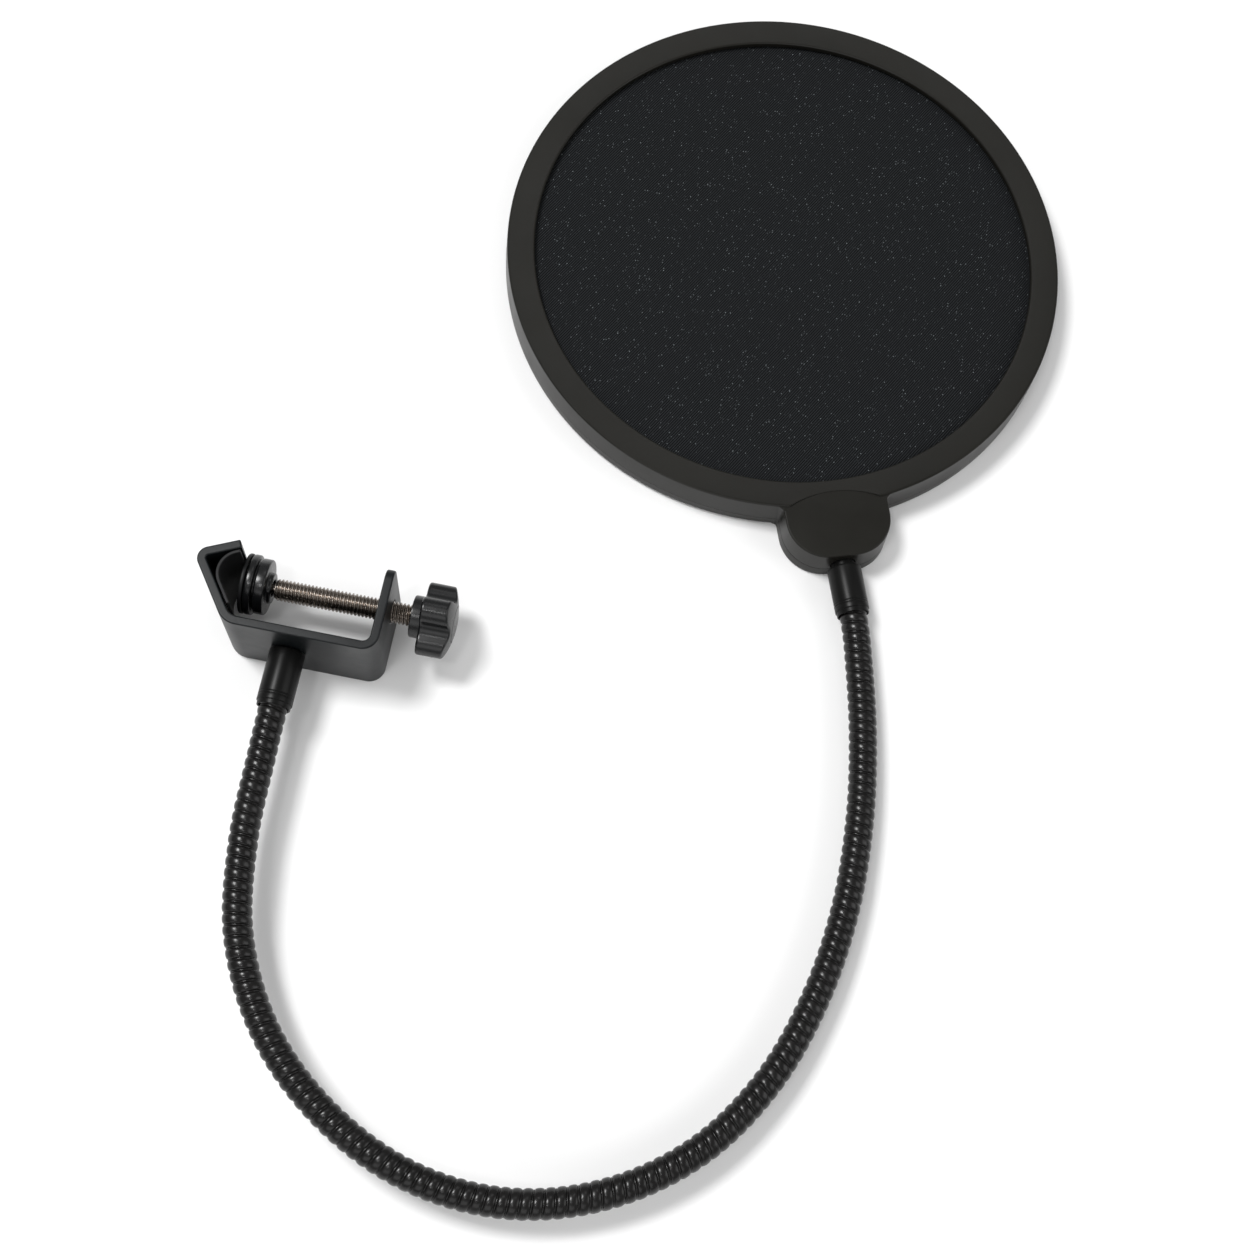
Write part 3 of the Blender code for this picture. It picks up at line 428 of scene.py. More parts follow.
satin = moulded("satin_plastic", (0.0088, 0.0084, 0.0068), (0.28, 0.36), 0.19)
collar_black = moulded("collar_black", (0.0042, 0.0042, 0.0041), (0.3, 0.38), 0.12)
coat = moulded("powder_coat", (0.0038, 0.0050, 0.0058), (0.32, 0.42), 0.22, 1100.0, 0.03 * MM, 0.4)
gloss = moulded("gloss_plastic", (0.0032, 0.0034, 0.0038), (0.22, 0.32), 0.38, 700.0, 0.02 * MM, 0.2)
liner_rubber = moulded("liner_rubber", (0.006, 0.0062, 0.0066), (0.42, 0.54), 0.2, 900.0)
hidden_plastic = moulded("inner_plastic", (0.03, 0.03, 0.03), (0.5, 0.6))
acetal = moulded("seat_acetal", (0.55, 0.55, 0.52), (0.4, 0.5))


def metal(name, colour, rough):
    n = Nodes(name)
    stain = n.noise(90.0, 5.0, 0.6)
    n.link("Base Color", n.ramp(stain, [(0.3, shade(colour, 0.7)), (0.7, shade(colour, 1.15))]))
    n.link("Roughness", n.spread(n.noise(600.0, 4.0, 0.6), *rough))
    n.link("Normal", n.bump(n.noise(1800.0, 2.0), 0.25, 0.01 * MM))
    n.set(Metallic=1.0)
    return n.material


nickel = metal("dark_nickel", (0.25, 0.22, 0.195), (0.22, 0.34))
zinc = metal("zinc_plate", (0.58, 0.58, 0.56), (0.25, 0.4))
brass = metal("insert_brass", (0.62, 0.45, 0.2), (0.25, 0.4))


def wound_wire():
    """Black, blued steel wire: glossy and a little uneven."""
    n = Nodes("wound_wire")
    stain = n.noise(60.0, 5.0, 0.6)
    colour = (0.0035, 0.0032, 0.0031)
    n.link("Base Color", n.ramp(stain, [(0.3, shade(colour, 0.75)), (0.7, shade(colour, 1.35))]))
    n.link("Roughness", n.spread(n.noise(160.0, 3.0), 0.24, 0.3))
    n.set(Specular_IOR_Level=0.3)
    n.link("Normal", n.bump(n.noise(900.0, 2.0), 0.1, 0.005 * MM))
    return n.material


neck_black = wound_wire()

TWILL_PITCH = 0.62 * MM
THREAD_SPACING = 0.45 * MM
TWILL_ANGLE = math.radians(60.0)
TWILL_DEPTH = 0.12 * MM
WAVE_LENGTH = 2 * math.pi / 20.0  # of the wave texture at a scale of 1
PAINTED_GLINT_CELLS = 1400.0  # cells per metre, each with room for a painted glint
DARK_CELLS = 0.55  # share of the cells that hold none
# the painted glints' colour: a painted highlight mixed into the cloth's base colour
PAINTED_GLINT_COLOUR = (0.2, 0.22, 0.23, 1.0)


def screen_cloth():
    """Fine nylon twill: slanting ribs, crossing threads and sparse painted glints; painted shade in the
    weave's hollows and painted light on its ribs.
    """
    n = Nodes("screen_cloth")
    turned = n.add("ShaderNodeMapping", {"Vector": n.place})
    turned.inputs["Rotation"].default_value = (0.0, 0.0, math.pi / 2 - TWILL_ANGLE)
    rib_at = turned.outputs["Vector"]
    ribs = n.add("ShaderNodeTexWave", {"Vector": rib_at}, bands_direction="X",
                 Scale=WAVE_LENGTH / TWILL_PITCH, Distortion=0.6, Detail=2.0, Detail_Scale=6.0)
    threads = n.add("ShaderNodeTexWave", {"Vector": rib_at}, bands_direction="Y",
                    Scale=WAVE_LENGTH / THREAD_SPACING, Distortion=1.2, Detail_Scale=4.0)
    height = n.math("ADD", ribs.outputs["Fac"], n.math("MULTIPLY", threads.outputs["Fac"], 0.45))
    # painted glints: bright specks set into the base colour, in some of the cells
    glint = n.add("ShaderNodeTexVoronoi", {"Vector": n.place}, Scale=PAINTED_GLINT_CELLS)
    spark = n.spread(glint.outputs["Distance"], 1.0, 0.0, 0.08, 0.26)
    chance = n.add("ShaderNodeSeparateColor", {"Color": glint.outputs["Color"]})
    rare = n.spread(chance.outputs["Red"], 0.0, 1.0, DARK_CELLS, 1.0)
    spark = n.math("MULTIPLY", spark, n.math("POWER", rare, 2.0))
    # base colour from the weave's height: painted shade in its hollows, painted light on its ribs
    base = n.ramp(n.math("MULTIPLY", height, 0.69), [
        (0.12, (0.0002, 0.0002, 0.0003)),
        (0.55, (0.0035, 0.0041, 0.0047)),
        (1.0, (0.023, 0.026, 0.029)),
    ])
    mix = n.add("ShaderNodeMix", data_type="RGBA")
    n.tree.links.new(spark, mix.inputs["Factor"])
    n.tree.links.new(base, mix.inputs[6])
    mix.inputs[7].default_value = PAINTED_GLINT_COLOUR
    n.link("Base Color", mix.outputs[2])
    n.link("Roughness", n.spread(height, 0.85, 0.62, 0.2, 1.3))
    n.link("Normal", n.bump(height, 0.8, TWILL_DEPTH))
    n.set(Specular_IOR_Level=0.12)
    return n.material


cloth = screen_cloth()

# ---- modelling tools
SMOOTH = 35.0  # degrees: edges that turn less are shaded smooth
SMOOTH_CUT = 30.0
FLAT_CORNER = math.radians(12.0)  # a corner that turns less isn't rounded
LEAST_ROUNDING = 0.005 * MM
QUARTER_TURN = [(1 - math.cos(a), math.sin(a)) for a in np.linspace(0.0, math.pi / 2, 6)]  # inset, rise

looks = bpy.data.collections.new("looks")
bpy.context.scene.collection.children.link(looks)


def from_points(name, points, faces, mat, sharp=SMOOTH):
    mesh = bpy.data.meshes.new(name)
    mesh.from_pydata([tuple(p) for p in points], [], faces)
    mesh.validate()
    if mat is not None:
        mesh.materials.append(mat)
    mesh.shade_smooth()
    mesh.set_sharp_from_angle(angle=math.radians(sharp))
    obj = bpy.data.objects.new(name, mesh)
    looks.objects.link(obj)
    return obj


def turned_to(direction, origin):
    """A matrix that carries +Z to a direction and the origin to a place."""
    turn = Vector(direction).to_track_quat("Z", "Y").to_matrix().to_4x4()
    return Matrix.Translation(CENTRE + Vector(origin)) @ turn


UPRIGHT = Matrix.Translation(CENTRE)
IN_PLACE = Matrix.Identity(4)


def eased(profile, radius, closed, steps=3):
    """A profile with its corners rounded, as far as its short stretches leave room."""
    count = len(profile)
    points = [Vector(p) for p in profile]
    out = []
    for i, corner in enumerate(points):
        if not closed and i in (0, count - 1):
            out.append(tuple(corner))
            continue
        before = points[i - 1] - corner
        after = points[(i + 1) % count] - corner
        bend = math.pi - before.angle(after)
        reach = min(radius * math.tan(bend / 2), 0.45 * before.length, 0.45 * after.length)
        if bend < FLAT_CORNER or reach < LEAST_ROUNDING:
            out.append(tuple(corner))
            continue
        start = corner + before.normalized() * reach
        end = corner + after.normalized() * reach
        for t in np.linspace(0.0, 1.0, steps + 1):
            point = start * (1 - t) ** 2 + corner * 2 * t * (1 - t) + end * t**2
            out.append(tuple(point))
    return out


def lathe(name, profile, mat, matrix, steps=72, edge=0.25 * MM):
    """A finely turned piece: (radius, height) points that run down the outer side."""
    closed = profile[0][0] > 0.0
    profile = eased(profile, edge, closed)
    points = []
    rings = []
    for radius, height in profile:
        if radius < 1e-7:
            rings.append([len(points)] * steps)
            points.append((0.0, 0.0, height))
            continue
        rings.append(list(range(len(points), len(points) + steps)))
        for k in range(steps):
            angle = 2 * math.pi * k / steps
            points.append((radius * math.cos(angle), radius * math.sin(angle), height))
    if closed:
        rings.append(rings[0])
    faces = []
    for upper, lower in zip(rings, rings[1:]):
        for k in range(steps):
            ahead = (k + 1) % steps
            corners = (upper[k], lower[k], lower[ahead], upper[ahead])
            faces.append(tuple(dict.fromkeys(corners)))
    obj = from_points(name, points, [f for f in faces if len(f) > 2], mat)
    obj.data.transform(matrix)
    return obj


def plug(name, radius, bottom, top, matrix, steps=36, edge=0.0):
    """A cylinder between two heights, as a cutter or a boss."""
    profile = [(0.0, top), (radius, top), (radius, bottom), (0.0, bottom)]
    return lathe(name, profile, None, matrix, steps, edge)


def lofted(name, rings, mat, matrix=UPRIGHT):
    """A solid skinned over rings of points, each anticlockwise from above, low to high."""
    count = len(rings[0])
    points = [point for ring in rings for point in ring]
    faces = [tuple(reversed(range(count)))]
    for low in range(0, count * (len(rings) - 1), count):
        for i in range(count):
            ahead = (i + 1) % count
            faces.append((low + i, low + ahead, low + count + ahead, low + count + i))
    faces.append(tuple(range(len(points) - count, len(points))))
    obj = from_points(name, points, faces, mat)
    obj.data.transform(matrix)
    return obj


def raised(outline, height):
    return [(x, y, height) for x, y in outline]


def arc(centre, radius, start, end, steps):
    angles = np.linspace(start, end, steps + 1)
    return [(centre[0] + radius * math.cos(a), centre[1] + radius * math.sin(a)) for a in angles]


def combine(obj, cutters, operation="DIFFERENCE", sharp=SMOOTH):
    """Booleans applied to a piece; the cutters are used up."""
    for cutter in cutters:
        mod = obj.modifiers.new(cutter.name, "BOOLEAN")
        mod.operation = operation
        mod.object = cutter
        mod.solver = "EXACT"
    bake(obj, sharp)
    for cutter in cutters:
        bpy.data.objects.remove(cutter)


def bake(obj, sharp=None):
    """Apply a piece's modifiers, and smooth it anew up to an angle."""
    bpy.context.view_layer.update()
    graph = bpy.context.evaluated_depsgraph_get()
    mesh = bpy.data.meshes.new_from_object(obj.evaluated_get(graph))
    obj.modifiers.clear()
    obj.data = mesh
    if sharp is not None:
        mesh.shade_smooth()
        mesh.set_sharp_from_angle(angle=math.radians(sharp))


def even_normals(obj):
    """Flat faces keep flat shading; the roundings between them carry the turn."""
    mod = obj.modifiers.new("normals", "WEIGHTED_NORMAL")
    mod.weight = 100
    mod.keep_sharp = True
    bake(obj)


def weld(obj):
    """Joins the nearly coincident corners that a cut leaves."""
    bm = bmesh.new()
    bm.from_mesh(obj.data)
    bmesh.ops.remove_doubles(bm, verts=bm.verts, dist=WELD)
    bm.to_mesh(obj.data)
    bm.free()


def bevel(obj, width):
    mod = obj.modifiers.new("edges", "BEVEL")
    mod.width = width
    mod.segments = 3
    mod.limit_method = "ANGLE"
    mod.angle_limit = math.radians(50.0)
    bake(obj, SMOOTH)
    even_normals(obj)


def carry(obj, body, node):
    """The piece rides on a body and stands for a CAD node."""
    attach(obj, body)
    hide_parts(node)


def on_tab(along, across, height=0.0):
    return Matrix.Rotation(TAB_ANGLE, 3, "Z") @ Vector((along, across, height))


# ---- gooseneck
def neck_route():
    """Closely spaced points on the gooseneck's axis, and the length along it at each."""
    mouth_y = SPINE_Y - GAP - CLAMP_COLLAR_LENGTH
    knots = [(NECK_X_CLAMP, mouth_y + NECK_GRIP), (NECK_X_CLAMP, mouth_y)]
    knots += [(x * MM, y * MM) for x, y in NECK_ROUTE]
    knots += [on_tab(RING_COLLAR[1], 0.0)[:2], on_tab(RING_COLLAR[1] - NECK_GRIP, 0.0)[:2]]
    knots = np.array(knots)
    flat = [knots[0]]
    for before, start, end, after in zip(knots, knots[1:], knots[2:], knots[3:]):
        stretch = np.linalg.norm(end - start)
        lead = (end - before) / np.linalg.norm(end - before) * stretch
        trail = (after - start) / np.linalg.norm(after - start) * stretch
        for t in np.linspace(0.0, 1.0, ROUTE_STEPS, endpoint=False):
            flat.append((2 * t**3 - 3 * t**2 + 1) * start + (t**3 - 2 * t**2 + t) * lead
                        + (3 * t**2 - 2 * t**3) * end + (t**3 - t**2) * trail)
    flat = np.array(flat + [knots[-2], knots[-1]])
    steps = np.linalg.norm(np.diff(flat, axis=0), axis=1)
    along = np.concatenate([[0.0], np.cumsum(steps)])
    share = np.clip((along - NECK_GRIP) / (along[-1] - 2 * NECK_GRIP), 0.0, 1.0)
    ease = share * share * (3 - 2 * share)
    height = NECK_Z_CLAMP + (NECK_Z_RING - NECK_Z_CLAMP) * ease
    return np.column_stack([flat, height]), along


route, route_length = neck_route()
neck_visible = route_length[-1] - 2 * NECK_GRIP


def on_neck(lengths):
    return np.column_stack([np.interp(lengths, route_length, route[:, axis]) for axis in range(3)])


def wind_profile():
    """One turn's surface as (phase, radius) samples: a wide round wire, then a ridge."""
    samples = [(0.0, SEAM_RADIUS)]
    for x in np.linspace(-1.0, 1.0, BAND_SAMPLES):
        drop = BAND_DROP * abs(x) ** BAND_SQUARENESS
        samples.append((BAND_SHARE * (0.5 + BAND_REACH * x), NECK_RADIUS - drop))
    samples.append((BAND_SHARE, SEAM_RADIUS))
    for x in np.linspace(-1.0, 1.0, RIDGE_SAMPLES):
        drop = RIDGE_DROP + RIDGE_FALL * x**2
        samples.append((BAND_SHARE + (1 - BAND_SHARE) * (0.5 + RIDGE_REACH * x), NECK_RADIUS - drop))
    return samples


def wound_tube(name, start, end):
    """A stretch of the wound gooseneck between two lengths, closed at its ends.

    Its grid climbs with the winding, so that every seam lies on a line of
    vertices. Vertices beyond either end are drawn back to the end's circle.
    """
    profile = wind_profile()
    phases = np.array([phase for phase, _ in profile])
    radii = np.array([radius for _, radius in profile] + [profile[0][1]])
    first = math.floor(start / WIND_PITCH) - 2
    turns = np.arange(first, math.ceil(end / WIND_PITCH) + 1)
    climb = ((turns[:, None] + phases) * WIND_PITCH).reshape(-1)
    angles = np.arange(WIND_SIDES + 1) * 2 * np.pi / WIND_SIDES
    lengths = climb[:, None] + angles / (2 * np.pi) * WIND_PITCH
    inside = (lengths > start + 0.02 * MM) & (lengths < end - 0.02 * MM)
    lengths = np.clip(lengths, start, end)
    phase = (lengths / WIND_PITCH - angles / (2 * np.pi)) % 1.0
    radius = np.interp(phase, np.append(phases, 1.0), radii)
    centres = on_neck(lengths.reshape(-1))
    tangents = on_neck(lengths.reshape(-1) + WIND_PITCH) - on_neck(lengths.reshape(-1) - WIND_PITCH)
    tangents /= np.linalg.norm(tangents, axis=1)[:, None]
    sides = np.cross(tangents, (0.0, 0.0, 1.0))
    sides /= np.linalg.norm(sides, axis=1)[:, None]
    ups = np.cross(sides, tangents)
    turn = np.broadcast_to(angles, lengths.shape).reshape(-1)[:, None]
    grid = centres + radius.reshape(-1)[:, None] * (sides * np.cos(turn) + ups * np.sin(turn))
    grid = grid.reshape(*lengths.shape, 3)
    per_turn = len(profile)
    points = []
    known = {}

    def vertex(row, side):
        if side == WIND_SIDES:
            row, side = row + per_turn, 0
        if row >= len(lengths) or not inside[row, side]:
            at_start = row < len(lengths) and lengths[row, side] < (start + end) / 2
            key = ("start" if at_start else "end", side)
        else:
            key = (row, side)
        if key not in known:
            known[key] = len(points)
            source = min(row, len(lengths) - 1)
            points.append(tuple(grid[source, side]))
        return known[key]

    faces = []
    for row in range(len(lengths) - 1):
        for side in range(WIND_SIDES):
            corners = (vertex(row, side), vertex(row + 1, side),
                       vertex(row + 1, side + 1), vertex(row, side + 1))
            corners = tuple(dict.fromkeys(corners))
            if len(corners) > 2:
                faces.append(corners)
    faces.append([known["start", side] for side in range(WIND_SIDES)])
    faces.append([known["end", side] for side in reversed(range(WIND_SIDES))])
    tube = from_points(name, points, faces, neck_black, 60.0)
    tube.data.transform(UPRIGHT)
    return tube


def gooseneck():
    """Ten lengths, each split off half way between two joints."""
    spacing = neck_visible / JOINTS
    for number in range(1, JOINTS + 1):
        start = 0.0 if number == 1 else NECK_GRIP + spacing * (number - 1)
        end = route_length[-1] if number == JOINTS else NECK_GRIP + spacing * number
        piece = wound_tube(f"wound_neck_{number:02d}", start, end)
        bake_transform(piece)
        nodes = [f"neck_link_{number:02d}"]
        if number == JOINTS:
            nodes.append(f"neck_link_{number + 1:02d}")
        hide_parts(*nodes)


# ---- filter head
def tab_outline(inset, root, fillet):
    """The tab from above, along +X: a wide U closed by an arc of the ring's circle."""
    half = TAB_HALF - inset
    corner = TAB_CORNER - inset
    end = TAB_END - inset
    start = math.asin(half / root)
    fillet_arc = []
    if fillet:
        centre_y = half + fillet
        centre_x = math.sqrt((RING_RADIUS + fillet) ** 2 - centre_y**2)
        inward = math.pi + math.atan2(centre_y, centre_x)
        fillet_arc = arc((centre_x, centre_y), fillet, 1.5 * math.pi, inward, 6)
        start = inward - math.pi
    right = arc((end - corner, corner - half), corner, -math.pi / 2, 0.0, 20)
    left = arc((end - corner, half - corner), corner, 0.0, math.pi / 2, 20)
    back = arc((0.0, 0.0), root, start, -start, 10)
    return [*((x, -y) for x, y in reversed(fillet_arc)), *right, *left, *fillet_arc, *back]


TAB_TURN = UPRIGHT @ Matrix.Rotation(TAB_ANGLE, 4, "Z")


def tab_block(name, sections):
    """A block in the tab's outline: (inset, root, fillet, height) from low to high."""
    rings = [raised(tab_outline(*section[:3]), section[3]) for section in sections]
    return lofted(name, rings, None, TAB_TURN)


def boss_axis(side, height=0.0):
    """The upright axis of one of the tab's two screws."""
    return turned_to((0, 0, 1), on_tab(BOSS_ALONG, side * BOSS_ACROSS, height))


def throat_hole(name):
    direction = on_tab(1.0, 0.0)
    place = Vector((0.0, 0.0, NECK_Z_RING)) + direction * (TAB_END - 2 * WALL)
    return plug(name, THROAT_RADIUS + GAP, 0.0, 3 * WALL, turned_to(direction, place))


def tab_section(height, inset=0.0):
    """The drafted outline of the tab's wall at a height, drawn in by an inset."""
    inset -= TAB_FLARE * (1 - height / TAB_TOP)
    return (inset, TAB_ROOT, TAB_FILLET + inset, height)


def rounded_edge(start, end):
    """Tab sections that round an edge, from one height to another."""
    return [tab_section(start + (end - start) * rise, TAB_EDGE * inset) for inset, rise in QUARTER_TURN]


def pocket(name, bottom, top):
    """The room inside the tab, between two heights."""
    return tab_block(name, [(TAB_WALL, POCKET_ROOT, 0.0, height) for height in (bottom, top)])


def front_shell():
    bottom = SPLIT_Z + SEAM_GAP / 2
    face = RING_HEIGHT - FACE_DISH
    roof = face - WALL
    middle = (RING_BORE + RING_RADIUS) / 2
    shell = lathe("ring_front", [
        (RING_BORE, face),
        (middle, RING_HEIGHT - DISH_MIDDLE * FACE_DISH),
        (RING_RADIUS, RING_HEIGHT),
        (RING_RADIUS + RING_FLARE, bottom + SEAM_EDGE),
        (RING_RADIUS + RING_FLARE, bottom),
        (RING_RADIUS - WALL, bottom),
        (RING_RADIUS - WALL, roof),
        (RING_BORE + WALL, roof),
        (RING_BORE + WALL, FRONT_LIP_Z),
        (RING_BORE, FRONT_LIP_Z),
    ], satin, UPRIGHT, 288, FRONT_EDGE)
    block = tab_block("front_tab", [
        tab_section(bottom, SEAM_EDGE / 2),
        tab_section(bottom + SEAM_EDGE),
        *rounded_edge(TAB_TOP - TAB_EDGE, TAB_TOP),
    ])
    arch_floor = TAB_TOP - ARCH_DEPTH
    arch = lathe("tab_arch", [
        (0.0, TAB_TOP + CUT_PAST),
        (ARCH_RADIUS + ARCH_SLOPE, TAB_TOP + CUT_PAST),
        (ARCH_RADIUS + ARCH_SLOPE, arch_floor + ARCH_SLOPE),
        (ARCH_RADIUS, arch_floor),
        (0.0, arch_floor),
    ], None, turned_to((0, 0, 1), on_tab(ARCH_TOP + ARCH_RADIUS, 0.0)), 240, 0.0)
    bosses = []
    pilots = []
    for side in (-1, 1):
        axis = boss_axis(side)
        bosses.append(plug(f"front_boss_{side}", FRONT_BOSS_RADIUS, bottom + BOSS_RELIEF, roof, axis))
        pilots.append(plug(f"front_pilot_{side}", PILOT_RADIUS, 0.0, roof - MM, axis))
    combine(shell, [block], "UNION")
    combine(shell, [pocket("front_pocket", 0.0, roof - POCKET_STEP), arch])
    combine(shell, bosses, "UNION")
    combine(shell, [*pilots, throat_hole("front_throat")], sharp=SMOOTH_CUT)
    even_normals(shell)
    carry(shell, "filter_head", "front_shell")


def rear_shell():
    top = SPLIT_Z - SEAM_GAP / 2
    foot = RING_RADIUS + RING_FLARE
    shell = lathe("ring_rear", [
        (RING_BORE, REAR_LIP_Z),
        (RING_BORE + WALL, REAR_LIP_Z),
        (RING_BORE + WALL, WALL),
        (RING_RADIUS - WALL, WALL),
        (RING_RADIUS - WALL, top),
        (foot, top),
        (foot, top - SEAM_EDGE),
        *((foot - inset, height) for inset, height in FOOT_ROUNDING),
        (RING_BORE, 0.0),
    ], satin, UPRIGHT, 288, REAR_EDGE)
    block = tab_block("rear_tab", [
        *reversed(rounded_edge(TAB_EDGE, 0.0)),
        tab_section(top - SEAM_EDGE),
        tab_section(top, SEAM_EDGE / 2),
    ])
    bosses = []
    holes = []
    for side in (-1, 1):
        axis = boss_axis(side)
        bosses.append(plug(f"rear_boss_{side}", REAR_BOSS_RADIUS, GAP, top - BOSS_RELIEF, axis))
        holes.append(lathe(f"rear_hole_{side}", [
            (0.0, SPLIT_Z + CUT_PAST),
            (PILOT_RADIUS, SPLIT_Z + CUT_PAST),
            (PILOT_RADIUS, SINK_DEPTH),
            (SINK_RADIUS, SINK_DEPTH),
            (SINK_RADIUS, SINK_LEAD_TOP),
            (SINK_RADIUS + SINK_LEAD, SINK_LEAD_TOP - SINK_LEAD),
            (SINK_RADIUS + SINK_LEAD, -MM),
            (0.0, -MM),
        ], None, axis, 40, 0.0))
    combine(shell, [block], "UNION")
    combine(shell, [pocket("rear_pocket", WALL + POCKET_STEP, SPLIT_Z + CUT_PAST)])
    combine(shell, bosses, "UNION")
    combine(shell, [*holes, throat_hole("rear_throat")], sharp=SMOOTH_CUT)
    even_normals(shell)
    carry(shell, "filter_head", "rear_shell")


def screen(name, node, top, dip):
    """Cloth stretched over a hoop: a little dip and long, shallow tension waves."""
    spokes = SCREEN_SPOKES
    radii = SCREEN_RADIUS * np.sqrt(np.linspace(0.0, 1.0, SCREEN_RINGS))[1:]
    angles = np.arange(spokes) * 2 * np.pi / spokes
    points = []
    for radius in radii:
        share = radius / SCREEN_RADIUS
        sag = dip * (1 - share**2)
        wave = WIDE_PUCKER * np.sin(9 * angles + 1.3) + FINE_PUCKER * np.sin(16 * angles + 4.0 * share)
        heights = top - sag + wave * share**3 * (1 - share**6)
        for angle, height in zip(angles, heights):
            points.append((radius * math.cos(angle), radius * math.sin(angle), height))
    layer = len(points)
    points += [(x, y, z - SCREEN_THICK) for x, y, z in points]
    points += [(0.0, 0.0, top - dip), (0.0, 0.0, top - dip - SCREEN_THICK)]
    faces = []
    for k in range(spokes):
        ahead = (k + 1) % spokes
        faces.append((2 * layer, k, ahead))
        faces.append((2 * layer + 1, layer + ahead, layer + k))
        for ring in range(len(radii) - 1):
            low = ring * spokes
            high = low + spokes
            faces.append((low + k, high + k, high + ahead, low + ahead))
            faces.append((layer + low + k, layer + low + ahead, layer + high + ahead, layer + high + k))
        rim = layer - spokes
        faces.append((rim + k, layer + rim + k, layer + rim + ahead, rim + ahead))
    cloth_disc = from_points(name, points, faces, cloth)
    cloth_disc.data.transform(UPRIGHT)
    carry(cloth_disc, "filter_head", node)


def crossed_screw(name, matrix, head, shank, length, pitch):
    """A cross-headed screw with a real thread: its head's face is at its own origin."""
    radius, height = head
    lap = 0.2 * MM
    core = 0.8 * shank
    screw = lathe(name, [
        (0.0, height + lap),
        (core, height + lap),
        (core, height),
        (radius, height),
        (radius, RIM_SHARE * height),
        (FACE_SHARE * radius, 0.0),
        (0.0, 0.0),
    ], zinc, IN_PLACE, 56, 0.3 * MM)
    reach = CROSS_REACH * radius
    width = CROSS_WIDTH * radius
    cutters = []
    for index, (x, y) in enumerate(((reach, width), (width, reach))):
        mouth = [(-x, -y), (x, -y), (x, y), (-x, y)]
        floor = [(a / 2, b / 2) for a, b in mouth]
        rings = [raised(mouth, -height), raised(mouth, 0.05 * height), raised(floor, CROSS_DEPTH * height)]
        cutters.append(lofted(f"{name}_slot_{index}", rings, None, IN_PLACE))
    combine(screw, cutters, sharp=SMOOTH_CUT)
    depth = CUT_SHARE * shank
    join(screw, threaded_rod(name + "_thread", shank, depth, pitch, height - lap, length, zinc))
    screw.data.transform(matrix)
    return screw


def join(obj, other):
    """Merge another piece's mesh into a piece of the same material."""
    bm = bmesh.new()
    bm.from_mesh(obj.data)
    bm.from_mesh(other.data)
    bm.to_mesh(obj.data)
    bm.free()
    bpy.data.objects.remove(other)


def threaded_rod(name, crest, depth, pitch, low, high, mat):
    """A rod along +Z whose surface is a helical thread, fading out at both ends."""
    sides = THREAD_SIDES
    count = round((high - low) / pitch * THREAD_SAMPLES)
    heights = np.linspace(low, high, count + 1)
    angles = np.arange(sides) * 2 * np.pi / sides
    phase = (heights[:, None] / pitch - angles / (2 * np.pi)) % 1.0
    flank = np.abs(phase * 2 - 1)
    form = np.clip((flank - THREAD_CREST_FLAT) / THREAD_FLANK, 0.0, 1.0)
    radius = crest - depth * (1 - form)
    end_room = np.minimum(heights - low, high - heights)[:, None]
    limit = crest - depth * (1 - np.clip(end_room / (THREAD_FADE * pitch), 0.0, 1.0))
    radius = np.minimum(radius, limit)
    points = np.stack([
        radius * np.cos(angles),
        radius * np.sin(angles),
        np.broadcast_to(heights[:, None], radius.shape),
    ], axis=-1).reshape(-1, 3)
    index = np.arange(len(points)).reshape(count + 1, sides)
    ahead = np.roll(index, -1, axis=1)
    quads = np.stack([index[:-1], ahead[:-1], ahead[1:], index[1:]], axis=-1).reshape(-1, 4)
    faces = [*quads.tolist(), index[0][::-1].tolist(), index[-1].tolist()]
    return from_points(name, points, faces, mat, 50.0)


def shell_screws():
    face = SINK_DEPTH - GAP - SHELL_SCREW["head"][1]
    for side, node in ((1, "shell_screw_right"), (-1, "shell_screw_left")):
        screw = crossed_screw(node + "_fine", boss_axis(side, face), **SHELL_SCREW)
        carry(screw, "filter_head", node)


def collar_profile(length, floor, foot):
    """The tube of a collar, its mouth at the top: stepped end ring and two fine grooves."""
    width, depth = COLLAR_MOUTH
    profile = [
        (COLLAR_BORE, floor),
        (COLLAR_BORE, length - depth),
        (COLLAR_BORE + width, length),
        (COLLAR_RADIUS - COLLAR_STEP, length),
        (COLLAR_RADIUS - COLLAR_STEP, length - COLLAR_STEP_LENGTH),
        (COLLAR_RADIUS, length - COLLAR_STEP_LENGTH),
    ]
    for groove in GROOVES:
        at = length - groove
        profile += [
            (COLLAR_RADIUS, at),
            (COLLAR_RADIUS - GROOVE_DEPTH, at - GROOVE_SIDE),
            (COLLAR_RADIUS - GROOVE_DEPTH, at - GROOVE_WIDTH + GROOVE_SIDE),
            (COLLAR_RADIUS, at - GROOVE_WIDTH),
        ]
    return [*profile, (COLLAR_RADIUS, foot)]


def ring_collar():
    start, end = RING_COLLAR
    floor = end - NECK_GRIP - GAP
    wall_inside = TAB_END - TAB_WALL - GAP
    collar = lathe("ring_collar", [
        (0.0, floor),
        *collar_profile(end, floor, start),
        (THROAT_RADIUS, start),
        (THROAT_RADIUS, wall_inside),
        (FLANGE_RADIUS, wall_inside),
        (FLANGE_RADIUS, wall_inside - FLANGE_THICK),
        (TAIL_RADIUS, wall_inside - FLANGE_THICK),
        (TAIL_RADIUS, TAIL_END),
        (0.0, TAIL_END),
    ], collar_black, turned_to(on_tab(1.0, 0.0), (0.0, 0.0, NECK_Z_RING)), 96, COLLAR_EDGE)
    carry(collar, "filter_head", "ring_ferrule")


